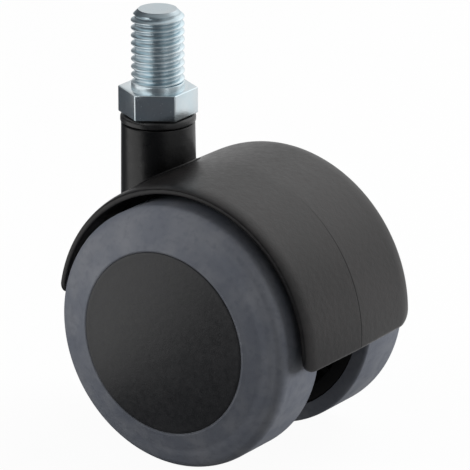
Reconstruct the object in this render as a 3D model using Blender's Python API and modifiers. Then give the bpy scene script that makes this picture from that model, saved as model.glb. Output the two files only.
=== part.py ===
"""Twin-wheel furniture caster with a threaded swivel stem.

Units are metres. The origin is on the swivel axis, in the plane of the hexagon's upper face, where the
caster seats against a chair leg. +Z is up along the stem, +X runs from the stem back to the axle, and
the wheels turn about Y. The left wheel is on the -Y side.
"""

import math

import bmesh
import bpy

# Stem
THREAD_RADIUS = 0.0050
THREAD_PITCH = 0.0015
THREAD_LENGTH = 0.0150
THREAD_DEPTH = 0.00092
THREAD_CREST = 0.00019
THREAD_FLANK = 30.0
THREAD_COLLAR = 0.0011
TIP_CHAMFER = 0.0014
HEX_SIDES = 6
HEX_ACROSS_FLATS = 0.0130
HEX_HEIGHT = 0.0050
HEX_BEVEL = 0.0002
JOURNAL_RADIUS = 0.0040
JOURNAL_TAIL = 0.0013
JOURNAL_CHAMFER = 0.0006
GROOVE_DEPTH = 0.0008
CIRCLIP_THICKNESS = 0.0008
CIRCLIP_REACH = 0.0014
CIRCLIP_OPENING = 0.0024
STEM_WASHER_WIDTH = 0.0022

# Swivel bush
BUSH_WALL = 0.0010
BUSH_FLANGE_HEIGHT = 0.0013
BUSH_FLANGE_ROUND = 0.0004
BUSH_END_RECESS = 0.0010

# Housing
TRAIL = 0.0170
TOWER_WALL = 0.0018
TOWER_RISE = 0.0053
POST_LENGTH = 0.0250
HOOD_WALL = 0.0018
HOOD_HALF_WIDTH = 0.0173
HOOD_EDGE_ROUND = 0.0015
HOOD_CROWN = 0.0002
HOOD_CORNER_ROUND = 0.0030
HOOD_REAR_ANGLE = -5.0
HOOD_FRONT_ANGLE = 175.5
SPINE_INSET = 0.0006
SPINE_WALL = 0.0018
SPINE_REAR_RISE = 0.0010
SPINE_BOSS_COVER = 0.0005
SPINE_WASHER_ROOM = 0.0010
BOSS_WALL = 0.0028

# Wheels
WHEEL_RADIUS = 0.0250
WHEEL_WIDTH = 0.0146
TYRE_CLEARANCE = 0.0017
TREAD_THICKNESS = 0.0028
TREAD_EDGE_ROUND = 0.0006
SHOULDER_ROUND = 0.0026
FACE_ANGLE = 20.0
KEY_DEPTH = 0.0009
KEY_WIDTH = 0.0026
KEY_INSET = 0.0040
CAP_RADIUS = 0.0173
CAP_THICKNESS = 0.0016
CAP_RISE = 0.0006
CAP_EDGE_ROUND = 0.0004
CAP_LEDGE = 0.0015
CAP_SKIRT_WALL = 0.0014
RIM_WALL = 0.0016
DISC_WALL = 0.0020
HUB_WALL = 0.0016
RIB_WALL = 0.0014
RIB_INSET = 0.0025
RIB_STEP = 0.0004
RIB_COUNT = 8

# Axle
AXLE_RADIUS = 0.0030
AXLE_CHAMFER = 0.0004
AXLE_TAIL = 0.0006
HUB_BUSH_WALL = 0.0010
WASHER_THICKNESS = 0.0009
WASHER_WIDTH = 0.0022
CLIP_THICKNESS = 0.0006
CLIP_WIDTH = 0.0020
CLIP_TOOTH = 0.0010
CLIP_SLOT = 0.0008
CLIP_SLOTS = 6

# Fits
RUNNING_CLEARANCE = 0.00006
PRESS_GAP = 0.00014
FACE_GAP = 0.0002
THRUST_GAP = 0.0003

# Facets round each kind of piece
TYRE_STEPS = 48
HOOD_STEPS = 60
POST_STEPS = 36
CORE_STEPS = 32
SMALL_STEPS = 24
SPINE_STEPS = 24
POCKET_STEPS = 18
THREAD_STEPS = 18
ARC_STEPS = 4
FLANGE_ARC_STEPS = 3
TREAD_ARC_STEPS = 2

# How far one shape reaches into another that it is joined to or cut from
OVERLAP = 0.0004
CUT_REACH = 0.0010
SPARE_TURNS = 2
TIP_HEADROOM = 4 * THREAD_PITCH

# Faces that meet at more degrees than this keep a crisp edge
CRISP_ANGLE = 30.0

# Drawn size of the empties on the axes
AXIS_SIZE = 0.01

# Points this close are one
WELD = 0.000001

# Radii about the swivel axis
HEX_CORNER_RADIUS = HEX_ACROSS_FLATS / 2 / math.cos(math.pi / HEX_SIDES)
THREAD_ROOT = THREAD_RADIUS - THREAD_DEPTH
GROOVE_RADIUS = JOURNAL_RADIUS - GROOVE_DEPTH
BUSH_BORE = JOURNAL_RADIUS + RUNNING_CLEARANCE
BUSH_RADIUS = BUSH_BORE + BUSH_WALL
POST_BORE = BUSH_RADIUS + PRESS_GAP
TOWER_RADIUS = POST_BORE + TOWER_WALL
STEM_WASHER_RADIUS = BUSH_BORE + STEM_WASHER_WIDTH

# Radii about the axle
HOOD_INNER = WHEEL_RADIUS + TYRE_CLEARANCE
HOOD_RADIUS = HOOD_INNER + HOOD_WALL
AXLE_BORE = AXLE_RADIUS + PRESS_GAP
BOSS_RADIUS = AXLE_BORE + BOSS_WALL
HUB_BUSH_BORE = AXLE_RADIUS + RUNNING_CLEARANCE
HUB_BUSH_RADIUS = HUB_BUSH_BORE + HUB_BUSH_WALL
HUB_BORE = HUB_BUSH_RADIUS + PRESS_GAP
HUB_RADIUS = HUB_BORE + HUB_WALL
TYRE_SEAT = WHEEL_RADIUS - TREAD_THICKNESS
RIM_RADIUS = TYRE_SEAT - PRESS_GAP
KEY_GROOVE = RIM_RADIUS - KEY_DEPTH
RIM_INNER = KEY_GROOVE - RIM_WALL
LIP_RADIUS = CAP_RADIUS + FACE_GAP
SKIRT_RADIUS = CAP_RADIUS - CAP_LEDGE
CAP_RECESS = SKIRT_RADIUS + FACE_GAP

# Heights on the swivel axis
FLANGE_TOP = -HEX_HEIGHT - FACE_GAP
FLANGE_BASE = FLANGE_TOP - BUSH_FLANGE_HEIGHT
TOWER_TOP = FLANGE_BASE - FACE_GAP
POST_BASE = TOWER_TOP - POST_LENGTH
BUSH_BASE = POST_BASE + BUSH_END_RECESS
STEM_WASHER_TOP = POST_BASE - THRUST_GAP
STEM_WASHER_BASE = STEM_WASHER_TOP - WASHER_THICKNESS
CIRCLIP_TOP = STEM_WASHER_BASE - FACE_GAP
CIRCLIP_BASE = CIRCLIP_TOP - CIRCLIP_THICKNESS
GROOVE_TOP = STEM_WASHER_BASE
GROOVE_BASE = CIRCLIP_BASE - FACE_GAP
STEM_END = GROOVE_BASE - JOURNAL_TAIL
AXLE_HEIGHT = TOWER_TOP - TOWER_RISE - HOOD_RADIUS

# Distances out along the axle from the middle plane
SPINE_HALF_WIDTH = TOWER_RADIUS - SPINE_INSET
BOSS_FACE = TOWER_RADIUS
INNER_WASHER_START = BOSS_FACE + THRUST_GAP
WHEEL_START = INNER_WASHER_START + WASHER_THICKNESS + THRUST_GAP
WHEEL_FACE = WHEEL_START + WHEEL_WIDTH
CAP_BASE = WHEEL_FACE - CAP_THICKNESS
CORE_LEDGE = CAP_BASE - FACE_GAP
AXLE_END = CAP_BASE - THRUST_GAP
CLIP_START = AXLE_END - AXLE_TAIL - CLIP_THICKNESS
OUTER_WASHER_START = CLIP_START - FACE_GAP - WASHER_THICKNESS
HUB_FACE = OUTER_WASHER_START - THRUST_GAP
DISC_INNER = HUB_FACE - DISC_WALL
RIB_BASE = WHEEL_START + RIB_INSET
KEY_START = WHEEL_START + KEY_INSET
KEY_END = KEY_START + KEY_WIDTH


def clear_scene():
    """Removes every object of the open scene."""
    for obj in list(bpy.data.objects):
        bpy.data.objects.remove(obj, do_unlink=True)


def new_collection(name):
    """A collection of this name, in the scene."""
    collection = bpy.data.collections.new(name)
    bpy.context.scene.collection.children.link(collection)
    return collection


def arc(centre, radius, start, end, steps=ARC_STEPS):
    """Points on an arc, from one angle to another, in degrees."""
    points = []
    for i in range(steps + 1):
        angle = math.radians(start + (end - start) * i / steps)
        points.append((centre[0] + radius * math.cos(angle), centre[1] + radius * math.sin(angle)))
    return points


def ring_section(inner, outer, base, top):
    """Section of a plain ring as (radius, height) points."""
    return [(inner, top), (outer, top), (outer, base), (inner, base)]


def link(name, mesh, collection):
    """A new object in a collection."""
    obj = bpy.data.objects.new(name, mesh)
    collection.objects.link(obj)
    return obj


def from_bmesh(name, collection, shape):
    """A new object with the faces of a bmesh, which it frees."""
    bmesh.ops.recalc_face_normals(shape, faces=shape.faces)
    mesh = bpy.data.meshes.new(name)
    shape.to_mesh(mesh)
    shape.free()
    return link(name, mesh, collection)


def profile_object(name, collection, profile, closed):
    """The edges of a (radius, height) profile, beside local Z."""
    points = [(radius, 0.0, height) for radius, height in profile]
    edges = [(i, i + 1) for i in range(len(points) - 1)]
    if closed:
        edges.append((len(points) - 1, 0))
    mesh = bpy.data.meshes.new(name)
    mesh.from_pydata(points, edges, [])
    return link(name, mesh, collection)


def turned(name, collection, profile, steps, closed=True):
    """A profile turned about local Z. A closed one is a ring's section, an open one ends on the axis."""
    obj = profile_object(name, collection, profile, closed)
    screw = obj.modifiers.new("turn", "SCREW")
    screw.steps = steps
    screw.render_steps = steps
    screw.use_merge_vertices = True
    screw.merge_threshold = WELD
    return obj


def cylinder(name, collection, radius, base, top, steps):
    """A solid cylinder on local Z between two heights."""
    shape = bmesh.new()
    bmesh.ops.create_cone(
        shape, cap_ends=True, segments=steps, radius1=radius, radius2=radius, depth=top - base
    )
    bmesh.ops.translate(shape, vec=(0.0, 0.0, (base + top) / 2), verts=shape.verts)
    return from_bmesh(name, collection, shape)


def spokes(name, collection, start, end, width, base, top, count):
    """Boxes spread evenly round local Z, each reaching from one radius to another."""
    meshed = bmesh.new()
    for i in range(count):
        corners = bmesh.ops.create_cube(meshed, size=1.0)["verts"]
        bmesh.ops.scale(meshed, vec=(end - start, width, top - base), verts=corners)
        bmesh.ops.translate(meshed, vec=((start + end) / 2, 0.0, (base + top) / 2), verts=corners)
        angle = math.tau * i / count
        for corner in corners:
            x, y = corner.co.x, corner.co.y
            corner.co.x = x * math.cos(angle) - y * math.sin(angle)
            corner.co.y = x * math.sin(angle) + y * math.cos(angle)
    return from_bmesh(name, collection, meshed)


def prism(name, collection, outline, half_depth):
    """A flat outline in local XY, extruded both ways along local Z."""
    curve = bpy.data.curves.new(name + "_outline", "CURVE")
    curve.dimensions = "2D"
    curve.fill_mode = "BOTH"
    curve.extrude = half_depth
    spline = curve.splines.new("POLY")
    spline.points.add(len(outline) - 1)
    for point, (x, y) in zip(spline.points, outline):
        point.co = (x, y, 0.0, 1.0)
    spline.use_cyclic_u = True
    drawn = link(name + "_outline", curve, collection)
    graph = bpy.context.evaluated_depsgraph_get()
    mesh = bpy.data.meshes.new_from_object(drawn.evaluated_get(graph))
    shape = bmesh.new()
    shape.from_mesh(mesh)
    bmesh.ops.remove_doubles(shape, verts=shape.verts, dist=WELD)
    bpy.data.objects.remove(drawn, do_unlink=True)
    bpy.data.meshes.remove(mesh)
    return from_bmesh(name, collection, shape)


def place(obj, parent, location=(0.0, 0.0, 0.0), rotation=(0.0, 0.0, 0.0)):
    """Hangs an object on a parent, with its place there and its rotation in degrees."""
    obj.parent = parent
    obj.location = location
    obj.rotation_euler = [math.radians(angle) for angle in rotation]
    return obj


def combine(target, other, operation):
    """Joins another shape to the target, or cuts it from the target."""
    modifier = target.modifiers.new(other.name, "BOOLEAN")
    modifier.object = other
    modifier.operation = operation
    modifier.solver = "EXACT"
    other.hide_render = True
    other.display_type = "WIRE"


def finish(obj, material):
    """Keeps the evaluated shape as the piece's own mesh, smooth with crisp corners, in its material."""
    bpy.context.view_layer.update()
    graph = bpy.context.evaluated_depsgraph_get()
    mesh = bpy.data.meshes.new_from_object(obj.evaluated_get(graph))
    mesh.name = obj.name
    obj.modifiers.clear()
    obj.data = mesh
    mesh.shade_smooth()
    mesh.set_sharp_from_angle(angle=math.radians(CRISP_ANGLE))
    mesh.materials.clear()
    mesh.materials.append(material)


def axis_empty(name, collection, location, rotation=(0.0, 0.0, 0.0), parent=None):
    """An empty on a joint's axis."""
    empty = bpy.data.objects.new(name, None)
    empty.empty_display_size = AXIS_SIZE
    collection.objects.link(empty)
    return place(empty, parent, location, rotation)


def new_material(name, colour, roughness, metallic):
    """A Principled material with one linear colour."""
    material = bpy.data.materials.new(name)
    material.use_nodes = True
    shader = material.node_tree.nodes["Principled BSDF"]
    shader.inputs["Base Color"].default_value = (*colour, 1.0)
    shader.inputs["Roughness"].default_value = roughness
    shader.inputs["Metallic"].default_value = metallic
    return material


def zinc_plate():
    return new_material("zinc_plate", (0.62, 0.66, 0.68), 0.28, 1.0)


def bright_steel():
    return new_material("bright_steel", (0.55, 0.55, 0.56), 0.35, 1.0)


def spring_steel():
    return new_material("spring_steel", (0.20, 0.20, 0.21), 0.40, 1.0)


def black_nylon():
    return new_material("black_nylon", (0.022, 0.021, 0.022), 0.42, 0.0)


def black_acetal():
    return new_material("black_acetal", (0.040, 0.040, 0.043), 0.35, 0.0)


def grey_tread():
    return new_material("grey_tread", (0.115, 0.124, 0.142), 0.60, 0.0)


def build_stem(parts, cutters):
    """The threaded stem: thread, hexagon and swivel journal in one piece of steel."""
    profile = [
        (0.0, THREAD_COLLAR),
        (THREAD_RADIUS, THREAD_COLLAR),
        (THREAD_RADIUS, -HEX_HEIGHT / 2),
        (JOURNAL_RADIUS, -HEX_HEIGHT / 2),
        (JOURNAL_RADIUS, GROOVE_TOP),
        (GROOVE_RADIUS, GROOVE_TOP),
        (GROOVE_RADIUS, GROOVE_BASE),
        (JOURNAL_RADIUS, GROOVE_BASE),
        (JOURNAL_RADIUS, STEM_END + JOURNAL_CHAMFER),
        (JOURNAL_RADIUS - JOURNAL_CHAMFER, STEM_END),
        (0.0, STEM_END),
    ]
    stem = turned("threaded_stem", parts, profile, SMALL_STEPS, closed=False)
    hexagon = cylinder(
        "stem_hexagon", cutters, HEX_CORNER_RADIUS, -HEX_HEIGHT, 0.0, HEX_SIDES
    )
    bevel = hexagon.modifiers.new("soft_edges", "BEVEL")
    bevel.width = HEX_BEVEL
    bevel.segments = 1
    combine(stem, hexagon, "UNION")
    combine(stem, thread_body(cutters), "UNION")
    combine(stem, tip_cutter(cutters), "DIFFERENCE")
    finish(stem, zinc_plate())


def thread_body(cutters):
    """The thread, a section one pitch long swept up a helix from inside the hexagon to above the tip."""
    base = -THREAD_PITCH
    crest_radius = THREAD_RADIUS - RUNNING_CLEARANCE
    flank = (crest_radius - THREAD_ROOT) * math.tan(math.radians(THREAD_FLANK))
    section = [
        (THREAD_ROOT, base),
        (crest_radius, base + flank),
        (crest_radius, base + flank + THREAD_CREST),
        (THREAD_ROOT, base + 2 * flank + THREAD_CREST),
        (THREAD_ROOT, base + THREAD_PITCH),
    ]
    swept = profile_object("stem_thread", cutters, section, closed=False)
    screw = swept.modifiers.new("helix", "SCREW")
    screw.steps = THREAD_STEPS
    screw.render_steps = THREAD_STEPS
    screw.screw_offset = THREAD_PITCH
    screw.iterations = math.ceil(THREAD_LENGTH / THREAD_PITCH) + SPARE_TURNS
    screw.use_merge_vertices = False
    bpy.context.view_layer.update()
    shape = bmesh.new()
    shape.from_object(swept, bpy.context.evaluated_depsgraph_get())
    bpy.data.objects.remove(swept, do_unlink=True)
    bmesh.ops.remove_doubles(shape, verts=shape.verts, dist=WELD)
    bmesh.ops.holes_fill(shape, edges=[edge for edge in shape.edges if edge.is_boundary], sides=0)
    return from_bmesh("stem_thread", cutters, shape)


def tip_cutter(cutters):
    """What is turned away above the stem's tip and round its chamfer."""
    outside = THREAD_RADIUS + CUT_REACH
    profile = [
        (0.0, THREAD_LENGTH + TIP_HEADROOM),
        (outside, THREAD_LENGTH + TIP_HEADROOM),
        (outside, THREAD_LENGTH - TIP_CHAMFER - CUT_REACH),
        (THREAD_RADIUS - TIP_CHAMFER, THREAD_LENGTH),
        (0.0, THREAD_LENGTH),
    ]
    return turned("stem_tip_cutter", cutters, profile, SMALL_STEPS, closed=False)


def build_stem_keepers(parts, cutters):
    """The washer and the spring ring that keep the journal in the housing."""
    washer = turned(
        "stem_washer",
        parts,
        ring_section(BUSH_BORE, STEM_WASHER_RADIUS, STEM_WASHER_BASE, STEM_WASHER_TOP),
        SMALL_STEPS,
    )
    finish(washer, bright_steel())
    clip_radius = JOURNAL_RADIUS + CIRCLIP_REACH
    section = ring_section(GROOVE_RADIUS + PRESS_GAP, clip_radius, CIRCLIP_BASE, CIRCLIP_TOP)
    circlip = turned("stem_circlip", parts, section, SMALL_STEPS)
    opening = spokes(
        "circlip_opening",
        cutters,
        0.0,
        clip_radius + CUT_REACH,
        CIRCLIP_OPENING,
        CIRCLIP_BASE - CUT_REACH,
        CIRCLIP_TOP + CUT_REACH,
        1,
    )
    combine(circlip, opening, "DIFFERENCE")
    finish(circlip, spring_steel())


def build_bush(parts, swivel):
    """The flanged bush that the journal turns in."""
    edge = (TOWER_RADIUS - BUSH_FLANGE_ROUND, FLANGE_TOP - BUSH_FLANGE_ROUND)
    profile = [
        (BUSH_BORE, FLANGE_TOP),
        *arc(edge, BUSH_FLANGE_ROUND, 90, 0, FLANGE_ARC_STEPS),
        (TOWER_RADIUS, FLANGE_BASE),
        (BUSH_RADIUS, FLANGE_BASE),
        (BUSH_RADIUS, BUSH_BASE),
        (BUSH_BORE, BUSH_BASE),
    ]
    bush = place(turned("swivel_bush", parts, profile, SMALL_STEPS), swivel)
    finish(bush, black_acetal())


def hood_section():
    """The hood's section across its width, as (radius, distance along the axle) points."""
    side = HOOD_RADIUS - HOOD_CROWN
    round_radius = side - HOOD_EDGE_ROUND
    round_start = HOOD_HALF_WIDTH - HOOD_EDGE_ROUND
    return [
        (HOOD_INNER, HOOD_HALF_WIDTH),
        *arc((round_radius, round_start), HOOD_EDGE_ROUND, 90, 0),
        (HOOD_RADIUS, 0.0),
        *arc((round_radius, -round_start), HOOD_EDGE_ROUND, 0, -90),
        (HOOD_INNER, -HOOD_HALF_WIDTH),
    ]


def hood_end_cutter(name, cutters, axle, end_angle, direction):
    """What lies below one end of the hood, with the end's corners rounded, fore or aft of the axle."""
    end = HOOD_RADIUS * math.sin(math.radians(end_angle))
    side = HOOD_HALF_WIDTH + RUNNING_CLEARANCE
    inset = side - HOOD_CORNER_ROUND
    level = end + HOOD_CORNER_ROUND
    outside = side + CUT_REACH
    below = -2 * HOOD_RADIUS
    outline = [
        (-outside, below),
        (outside, below),
        (outside, level),
        *arc((inset, level), HOOD_CORNER_ROUND, 0, -90),
        *arc((-inset, level), HOOD_CORNER_ROUND, -90, -180),
        (-outside, level),
    ]
    cutter = prism(name, cutters, outline, HOOD_RADIUS)
    return place(cutter, axle, (direction * (HOOD_RADIUS - OVERLAP), 0.0, 0.0), (90, 0, 90))


def spine_outline():
    """The spine's side view about the axle: under the hood, from the post to just above its rear edge."""
    crown = HOOD_INNER + HOOD_WALL / 2
    rear = HOOD_RADIUS * math.sin(math.radians(HOOD_REAR_ANGLE)) + SPINE_REAR_RISE
    rear_angle = math.degrees(math.asin(rear / crown))
    front_angle = math.degrees(math.acos(-TRAIL / crown))
    post_base = POST_BASE - AXLE_HEIGHT + OVERLAP
    cover = BOSS_RADIUS + SPINE_BOSS_COVER
    return [
        *arc((0.0, 0.0), crown, rear_angle, front_angle, SPINE_STEPS),
        (-TRAIL, post_base),
        (-TRAIL + STEM_WASHER_RADIUS + SPINE_WASHER_ROOM, post_base),
        (-cover, 0.0),
        (0.0, -cover),
    ]


def pocket_outline():
    """The side view of the hollows in the spine, open downwards."""
    roof = HOOD_INNER - SPINE_WALL / 2
    front = -TRAIL + TOWER_RADIUS + SPINE_WALL
    front_angle = math.degrees(math.acos(front / roof))
    return [
        (roof, -HOOD_RADIUS),
        *arc((0.0, 0.0), roof, 0, front_angle, POCKET_STEPS),
        (front, -HOOD_RADIUS),
    ]


def build_housing(parts, cutters, swivel, axle):
    """The hood, the tower with its post, and the spine with the axle's boss, moulded in one piece."""
    housing = turned("hood_housing", parts, hood_section(), HOOD_STEPS)
    place(housing, axle, rotation=(90, 0, 0))
    rear = hood_end_cutter("hood_rear_cutter", cutters, axle, HOOD_REAR_ANGLE, 1)
    front = hood_end_cutter("hood_front_cutter", cutters, axle, HOOD_FRONT_ANGLE, -1)
    combine(housing, rear, "DIFFERENCE")
    combine(housing, front, "DIFFERENCE")
    spine = prism("housing_spine", cutters, spine_outline(), SPINE_HALF_WIDTH)
    combine(housing, place(spine, axle, rotation=(90, 0, 0)), "UNION")
    pocket_start = SPINE_WALL / 2
    pocket_end = SPINE_HALF_WIDTH - SPINE_WALL
    for side, name in ((-1, "left_pocket_cutter"), (1, "right_pocket_cutter")):
        pocket = prism(name, cutters, pocket_outline(), (pocket_end - pocket_start) / 2)
        place(pocket, axle, (0.0, side * (pocket_start + pocket_end) / 2, 0.0), (90, 0, 0))
        combine(housing, pocket, "DIFFERENCE")
    boss = cylinder("axle_boss", cutters, BOSS_RADIUS, -BOSS_FACE, BOSS_FACE, SMALL_STEPS)
    combine(housing, place(boss, axle, rotation=(90, 0, 0)), "UNION")
    post = cylinder("stem_post", cutters, TOWER_RADIUS, POST_BASE, TOWER_TOP, POST_STEPS)
    combine(housing, place(post, swivel), "UNION")
    post_bore = cylinder(
        "post_bore", cutters, POST_BORE, POST_BASE - CUT_REACH, TOWER_TOP + CUT_REACH, SMALL_STEPS
    )
    combine(housing, place(post_bore, swivel), "DIFFERENCE")
    bore_half = BOSS_FACE + CUT_REACH
    axle_bore = cylinder("axle_bore", cutters, AXLE_BORE, -bore_half, bore_half, SMALL_STEPS)
    combine(housing, place(axle_bore, axle, rotation=(90, 0, 0)), "DIFFERENCE")
    finish(housing, black_nylon())


def build_axle(parts, axle):
    """The steel pin pressed through the spine."""
    end = AXLE_END - AXLE_CHAMFER
    tip = AXLE_RADIUS - AXLE_CHAMFER
    profile = [
        (0.0, AXLE_END),
        (tip, AXLE_END),
        (AXLE_RADIUS, end),
        (AXLE_RADIUS, -end),
        (tip, -AXLE_END),
        (0.0, -AXLE_END),
    ]
    pin = turned("axle", parts, profile, SMALL_STEPS, closed=False)
    finish(place(pin, axle, rotation=(90, 0, 0)), bright_steel())


def build_washer(name, parts, side, start):
    """A plain washer on the axle."""
    section = ring_section(HUB_BUSH_BORE, HUB_BUSH_BORE + WASHER_WIDTH, start, start + WASHER_THICKNESS)
    finish(place(turned(name, parts, section, SMALL_STEPS), side), bright_steel())


def build_axle_clip(name, parts, cutters, side):
    """A push-on clip whose teeth grip the end of the axle."""
    bore = AXLE_RADIUS + PRESS_GAP
    section = ring_section(bore, bore + CLIP_WIDTH, CLIP_START, CLIP_START + CLIP_THICKNESS)
    clip = place(turned(name, parts, section, SMALL_STEPS), side)
    slots = spokes(
        name + "_slots",
        cutters,
        bore - CLIP_TOOTH / 2,
        bore + CLIP_TOOTH,
        CLIP_SLOT,
        CLIP_START - CUT_REACH,
        CLIP_START + CLIP_THICKNESS + CUT_REACH,
        CLIP_SLOTS,
    )
    combine(clip, place(slots, side), "DIFFERENCE")
    finish(clip, spring_steel())


def face_height(radius, lip_height):
    """Height of a cone that falls away at the face angle outside the tyre's lip."""
    return lip_height - (radius - LIP_RADIUS) * math.tan(math.radians(FACE_ANGLE))


def build_tyre(name, parts, side):
    """The soft tread, moulded round the core and keyed into its groove."""
    turn = 90.0 - FACE_ANGLE
    shoulder_radius = WHEEL_RADIUS - SHOULDER_ROUND
    tangent = math.radians(turn)
    shoulder_height = face_height(shoulder_radius + SHOULDER_ROUND * math.cos(tangent), WHEEL_FACE)
    shoulder_height -= SHOULDER_ROUND * math.sin(tangent)
    edge = (WHEEL_RADIUS - TREAD_EDGE_ROUND, WHEEL_START + TREAD_EDGE_ROUND)
    under_lip = CORE_LEDGE + PRESS_GAP
    profile = [
        (LIP_RADIUS, WHEEL_FACE),
        *arc((shoulder_radius, shoulder_height), SHOULDER_ROUND, turn, 0),
        *arc(edge, TREAD_EDGE_ROUND, 0, -90, TREAD_ARC_STEPS),
        (TYRE_SEAT, WHEEL_START),
        (TYRE_SEAT, KEY_START),
        (TYRE_SEAT - KEY_DEPTH, KEY_START),
        (TYRE_SEAT - KEY_DEPTH, KEY_END),
        (TYRE_SEAT, KEY_END),
        (TYRE_SEAT, face_height(TYRE_SEAT, under_lip)),
        (LIP_RADIUS, under_lip),
    ]
    finish(place(turned(name, parts, profile, TYRE_STEPS), side), grey_tread())


def build_core(name, parts, cutters, side):
    """The wheel's moulded body: hub, ribbed disc and rim."""
    ring_middle = (HUB_RADIUS + RIM_INNER) / 2
    ring_outer = ring_middle + RIB_WALL / 2
    ring_inner = ring_middle - RIB_WALL / 2
    profile = [
        (HUB_BORE, HUB_FACE),
        (CAP_RECESS, HUB_FACE),
        (CAP_RECESS, CORE_LEDGE),
        (LIP_RADIUS, CORE_LEDGE),
        (RIM_RADIUS, face_height(RIM_RADIUS, CORE_LEDGE)),
        (RIM_RADIUS, KEY_END + PRESS_GAP),
        (KEY_GROOVE, KEY_END + PRESS_GAP),
        (KEY_GROOVE, KEY_START - PRESS_GAP),
        (RIM_RADIUS, KEY_START - PRESS_GAP),
        (RIM_RADIUS, WHEEL_START),
        (RIM_INNER, WHEEL_START),
        (RIM_INNER, DISC_INNER),
        (ring_outer, DISC_INNER),
        (ring_outer, RIB_BASE),
        (ring_inner, RIB_BASE),
        (ring_inner, DISC_INNER),
        (HUB_RADIUS, DISC_INNER),
        (HUB_RADIUS, WHEEL_START),
        (HUB_BORE, WHEEL_START),
    ]
    core = place(turned(name, parts, profile, CORE_STEPS), side)
    ribs = spokes(
        name + "_ribs",
        cutters,
        HUB_RADIUS - OVERLAP,
        RIM_INNER + OVERLAP,
        RIB_WALL,
        RIB_BASE + RIB_STEP,
        DISC_INNER + OVERLAP,
        RIB_COUNT,
    )
    combine(core, place(ribs, side), "UNION")
    finish(core, black_nylon())


def build_hub_bush(name, parts, side):
    """The plain bush pressed into the hub."""
    section = ring_section(HUB_BUSH_BORE, HUB_BUSH_RADIUS, WHEEL_START, HUB_FACE)
    finish(place(turned(name, parts, section, SMALL_STEPS), side), black_acetal())


def build_cap(name, parts, side):
    """The domed cover over the hub, with the skirt that presses into the core."""
    dome_radius = (CAP_RADIUS**2 + CAP_RISE**2) / (2 * CAP_RISE)
    dome_centre = WHEEL_FACE + CAP_RISE - dome_radius
    dome_half = math.degrees(math.asin((CAP_RADIUS - CAP_EDGE_ROUND) / dome_radius))
    skirt_base = HUB_FACE + FACE_GAP
    profile = [
        *arc((0.0, dome_centre), dome_radius, 90, 90 - dome_half),
        (CAP_RADIUS, WHEEL_FACE - CAP_EDGE_ROUND),
        (CAP_RADIUS, CAP_BASE),
        (SKIRT_RADIUS, CAP_BASE),
        (SKIRT_RADIUS, skirt_base),
        (SKIRT_RADIUS - CAP_SKIRT_WALL, skirt_base),
        (SKIRT_RADIUS - CAP_SKIRT_WALL, CAP_BASE),
        (0.0, CAP_BASE),
    ]
    finish(place(turned(name, parts, profile, CORE_STEPS, closed=False), side), black_nylon())


def main():
    clear_scene()
    parts = new_collection("chair_caster")
    cutters = new_collection("cutters")
    swivel = axis_empty("swivel_axis", parts, (0.0, 0.0, 0.0))
    axle = axis_empty("axle_axis", parts, (TRAIL, 0.0, AXLE_HEIGHT), parent=swivel)
    build_stem(parts, cutters)
    build_stem_keepers(parts, cutters)
    build_bush(parts, swivel)
    build_housing(parts, cutters, swivel, axle)
    build_axle(parts, axle)
    for name, tilt in (("left", 90.0), ("right", -90.0)):
        side = axis_empty(name + "_wheel_axis", parts, (0.0, 0.0, 0.0), (tilt, 0.0, 0.0), axle)
        build_washer(name + "_inner_washer", parts, side, INNER_WASHER_START)
        build_washer(name + "_outer_washer", parts, side, OUTER_WASHER_START)
        build_axle_clip(name + "_axle_clip", parts, cutters, side)
        build_hub_bush(name + "_hub_bush", parts, side)
        build_core(name + "_wheel_core", parts, cutters, side)
        build_tyre(name + "_tyre", parts, side)
        build_cap(name + "_hub_cap", parts, side)


main()
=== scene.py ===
"""Dressed twin-wheel furniture caster with a threaded swivel stem.

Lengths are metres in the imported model's frame: the origin is on the swivel axis in the plane of the
hexagon's upper face, +Z is up, +X runs from the stem back to the axle, and the left wheel is on the
-Y side.
"""

import logging
import math
from collections.abc import Callable, Sequence
from dataclasses import dataclass
from enum import Enum
from typing import Protocol

import bmesh
import bpy
from mathutils import Matrix, Vector


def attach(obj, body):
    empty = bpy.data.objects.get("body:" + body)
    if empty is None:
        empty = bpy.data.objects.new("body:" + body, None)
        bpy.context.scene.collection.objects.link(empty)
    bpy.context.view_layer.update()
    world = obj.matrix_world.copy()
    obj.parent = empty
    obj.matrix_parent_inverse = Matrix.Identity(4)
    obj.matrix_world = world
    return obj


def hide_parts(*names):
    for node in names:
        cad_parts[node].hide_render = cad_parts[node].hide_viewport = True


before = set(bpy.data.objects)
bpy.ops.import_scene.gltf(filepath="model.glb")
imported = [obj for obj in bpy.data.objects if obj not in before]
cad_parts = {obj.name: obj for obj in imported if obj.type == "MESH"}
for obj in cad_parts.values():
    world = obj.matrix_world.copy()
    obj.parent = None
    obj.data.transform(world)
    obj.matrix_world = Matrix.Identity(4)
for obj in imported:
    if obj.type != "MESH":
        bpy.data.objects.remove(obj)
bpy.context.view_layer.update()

LOG = logging.getLogger("caster")
WELD = 5e-6
CRISP_ANGLE = math.radians(32.0)
QUAD = 4
MIX_FACTOR, MIX_FIRST, MIX_SECOND, MIX_RESULT = 0, 6, 7, 2

Point = tuple[float, float]
Triple = tuple[float, float, float]
Colour = tuple[float, float, float]
Grid = Sequence[Sequence[bmesh.types.BMVert]]

AXLE = Vector((0.0170, 0.0, -0.0405))
UPRIGHT = Matrix.Identity(4)
ORIGIN = (0.0, 0.0, 0.0)
WHITE = (1.0, 1.0, 1.0)
ACROSS_STEM = (1.0, 1.0, 0.0)
ACROSS_AXLE = (1.0, 0.0, 1.0)
ACROSS_MIDDLE = (0.0, 1.0, 0.0)


class Body(Enum):
    """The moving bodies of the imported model."""

    STEM = "stem"
    HOUSING = "housing"
    LEFT_WHEEL = "left_wheel"
    RIGHT_WHEEL = "right_wheel"


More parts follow.
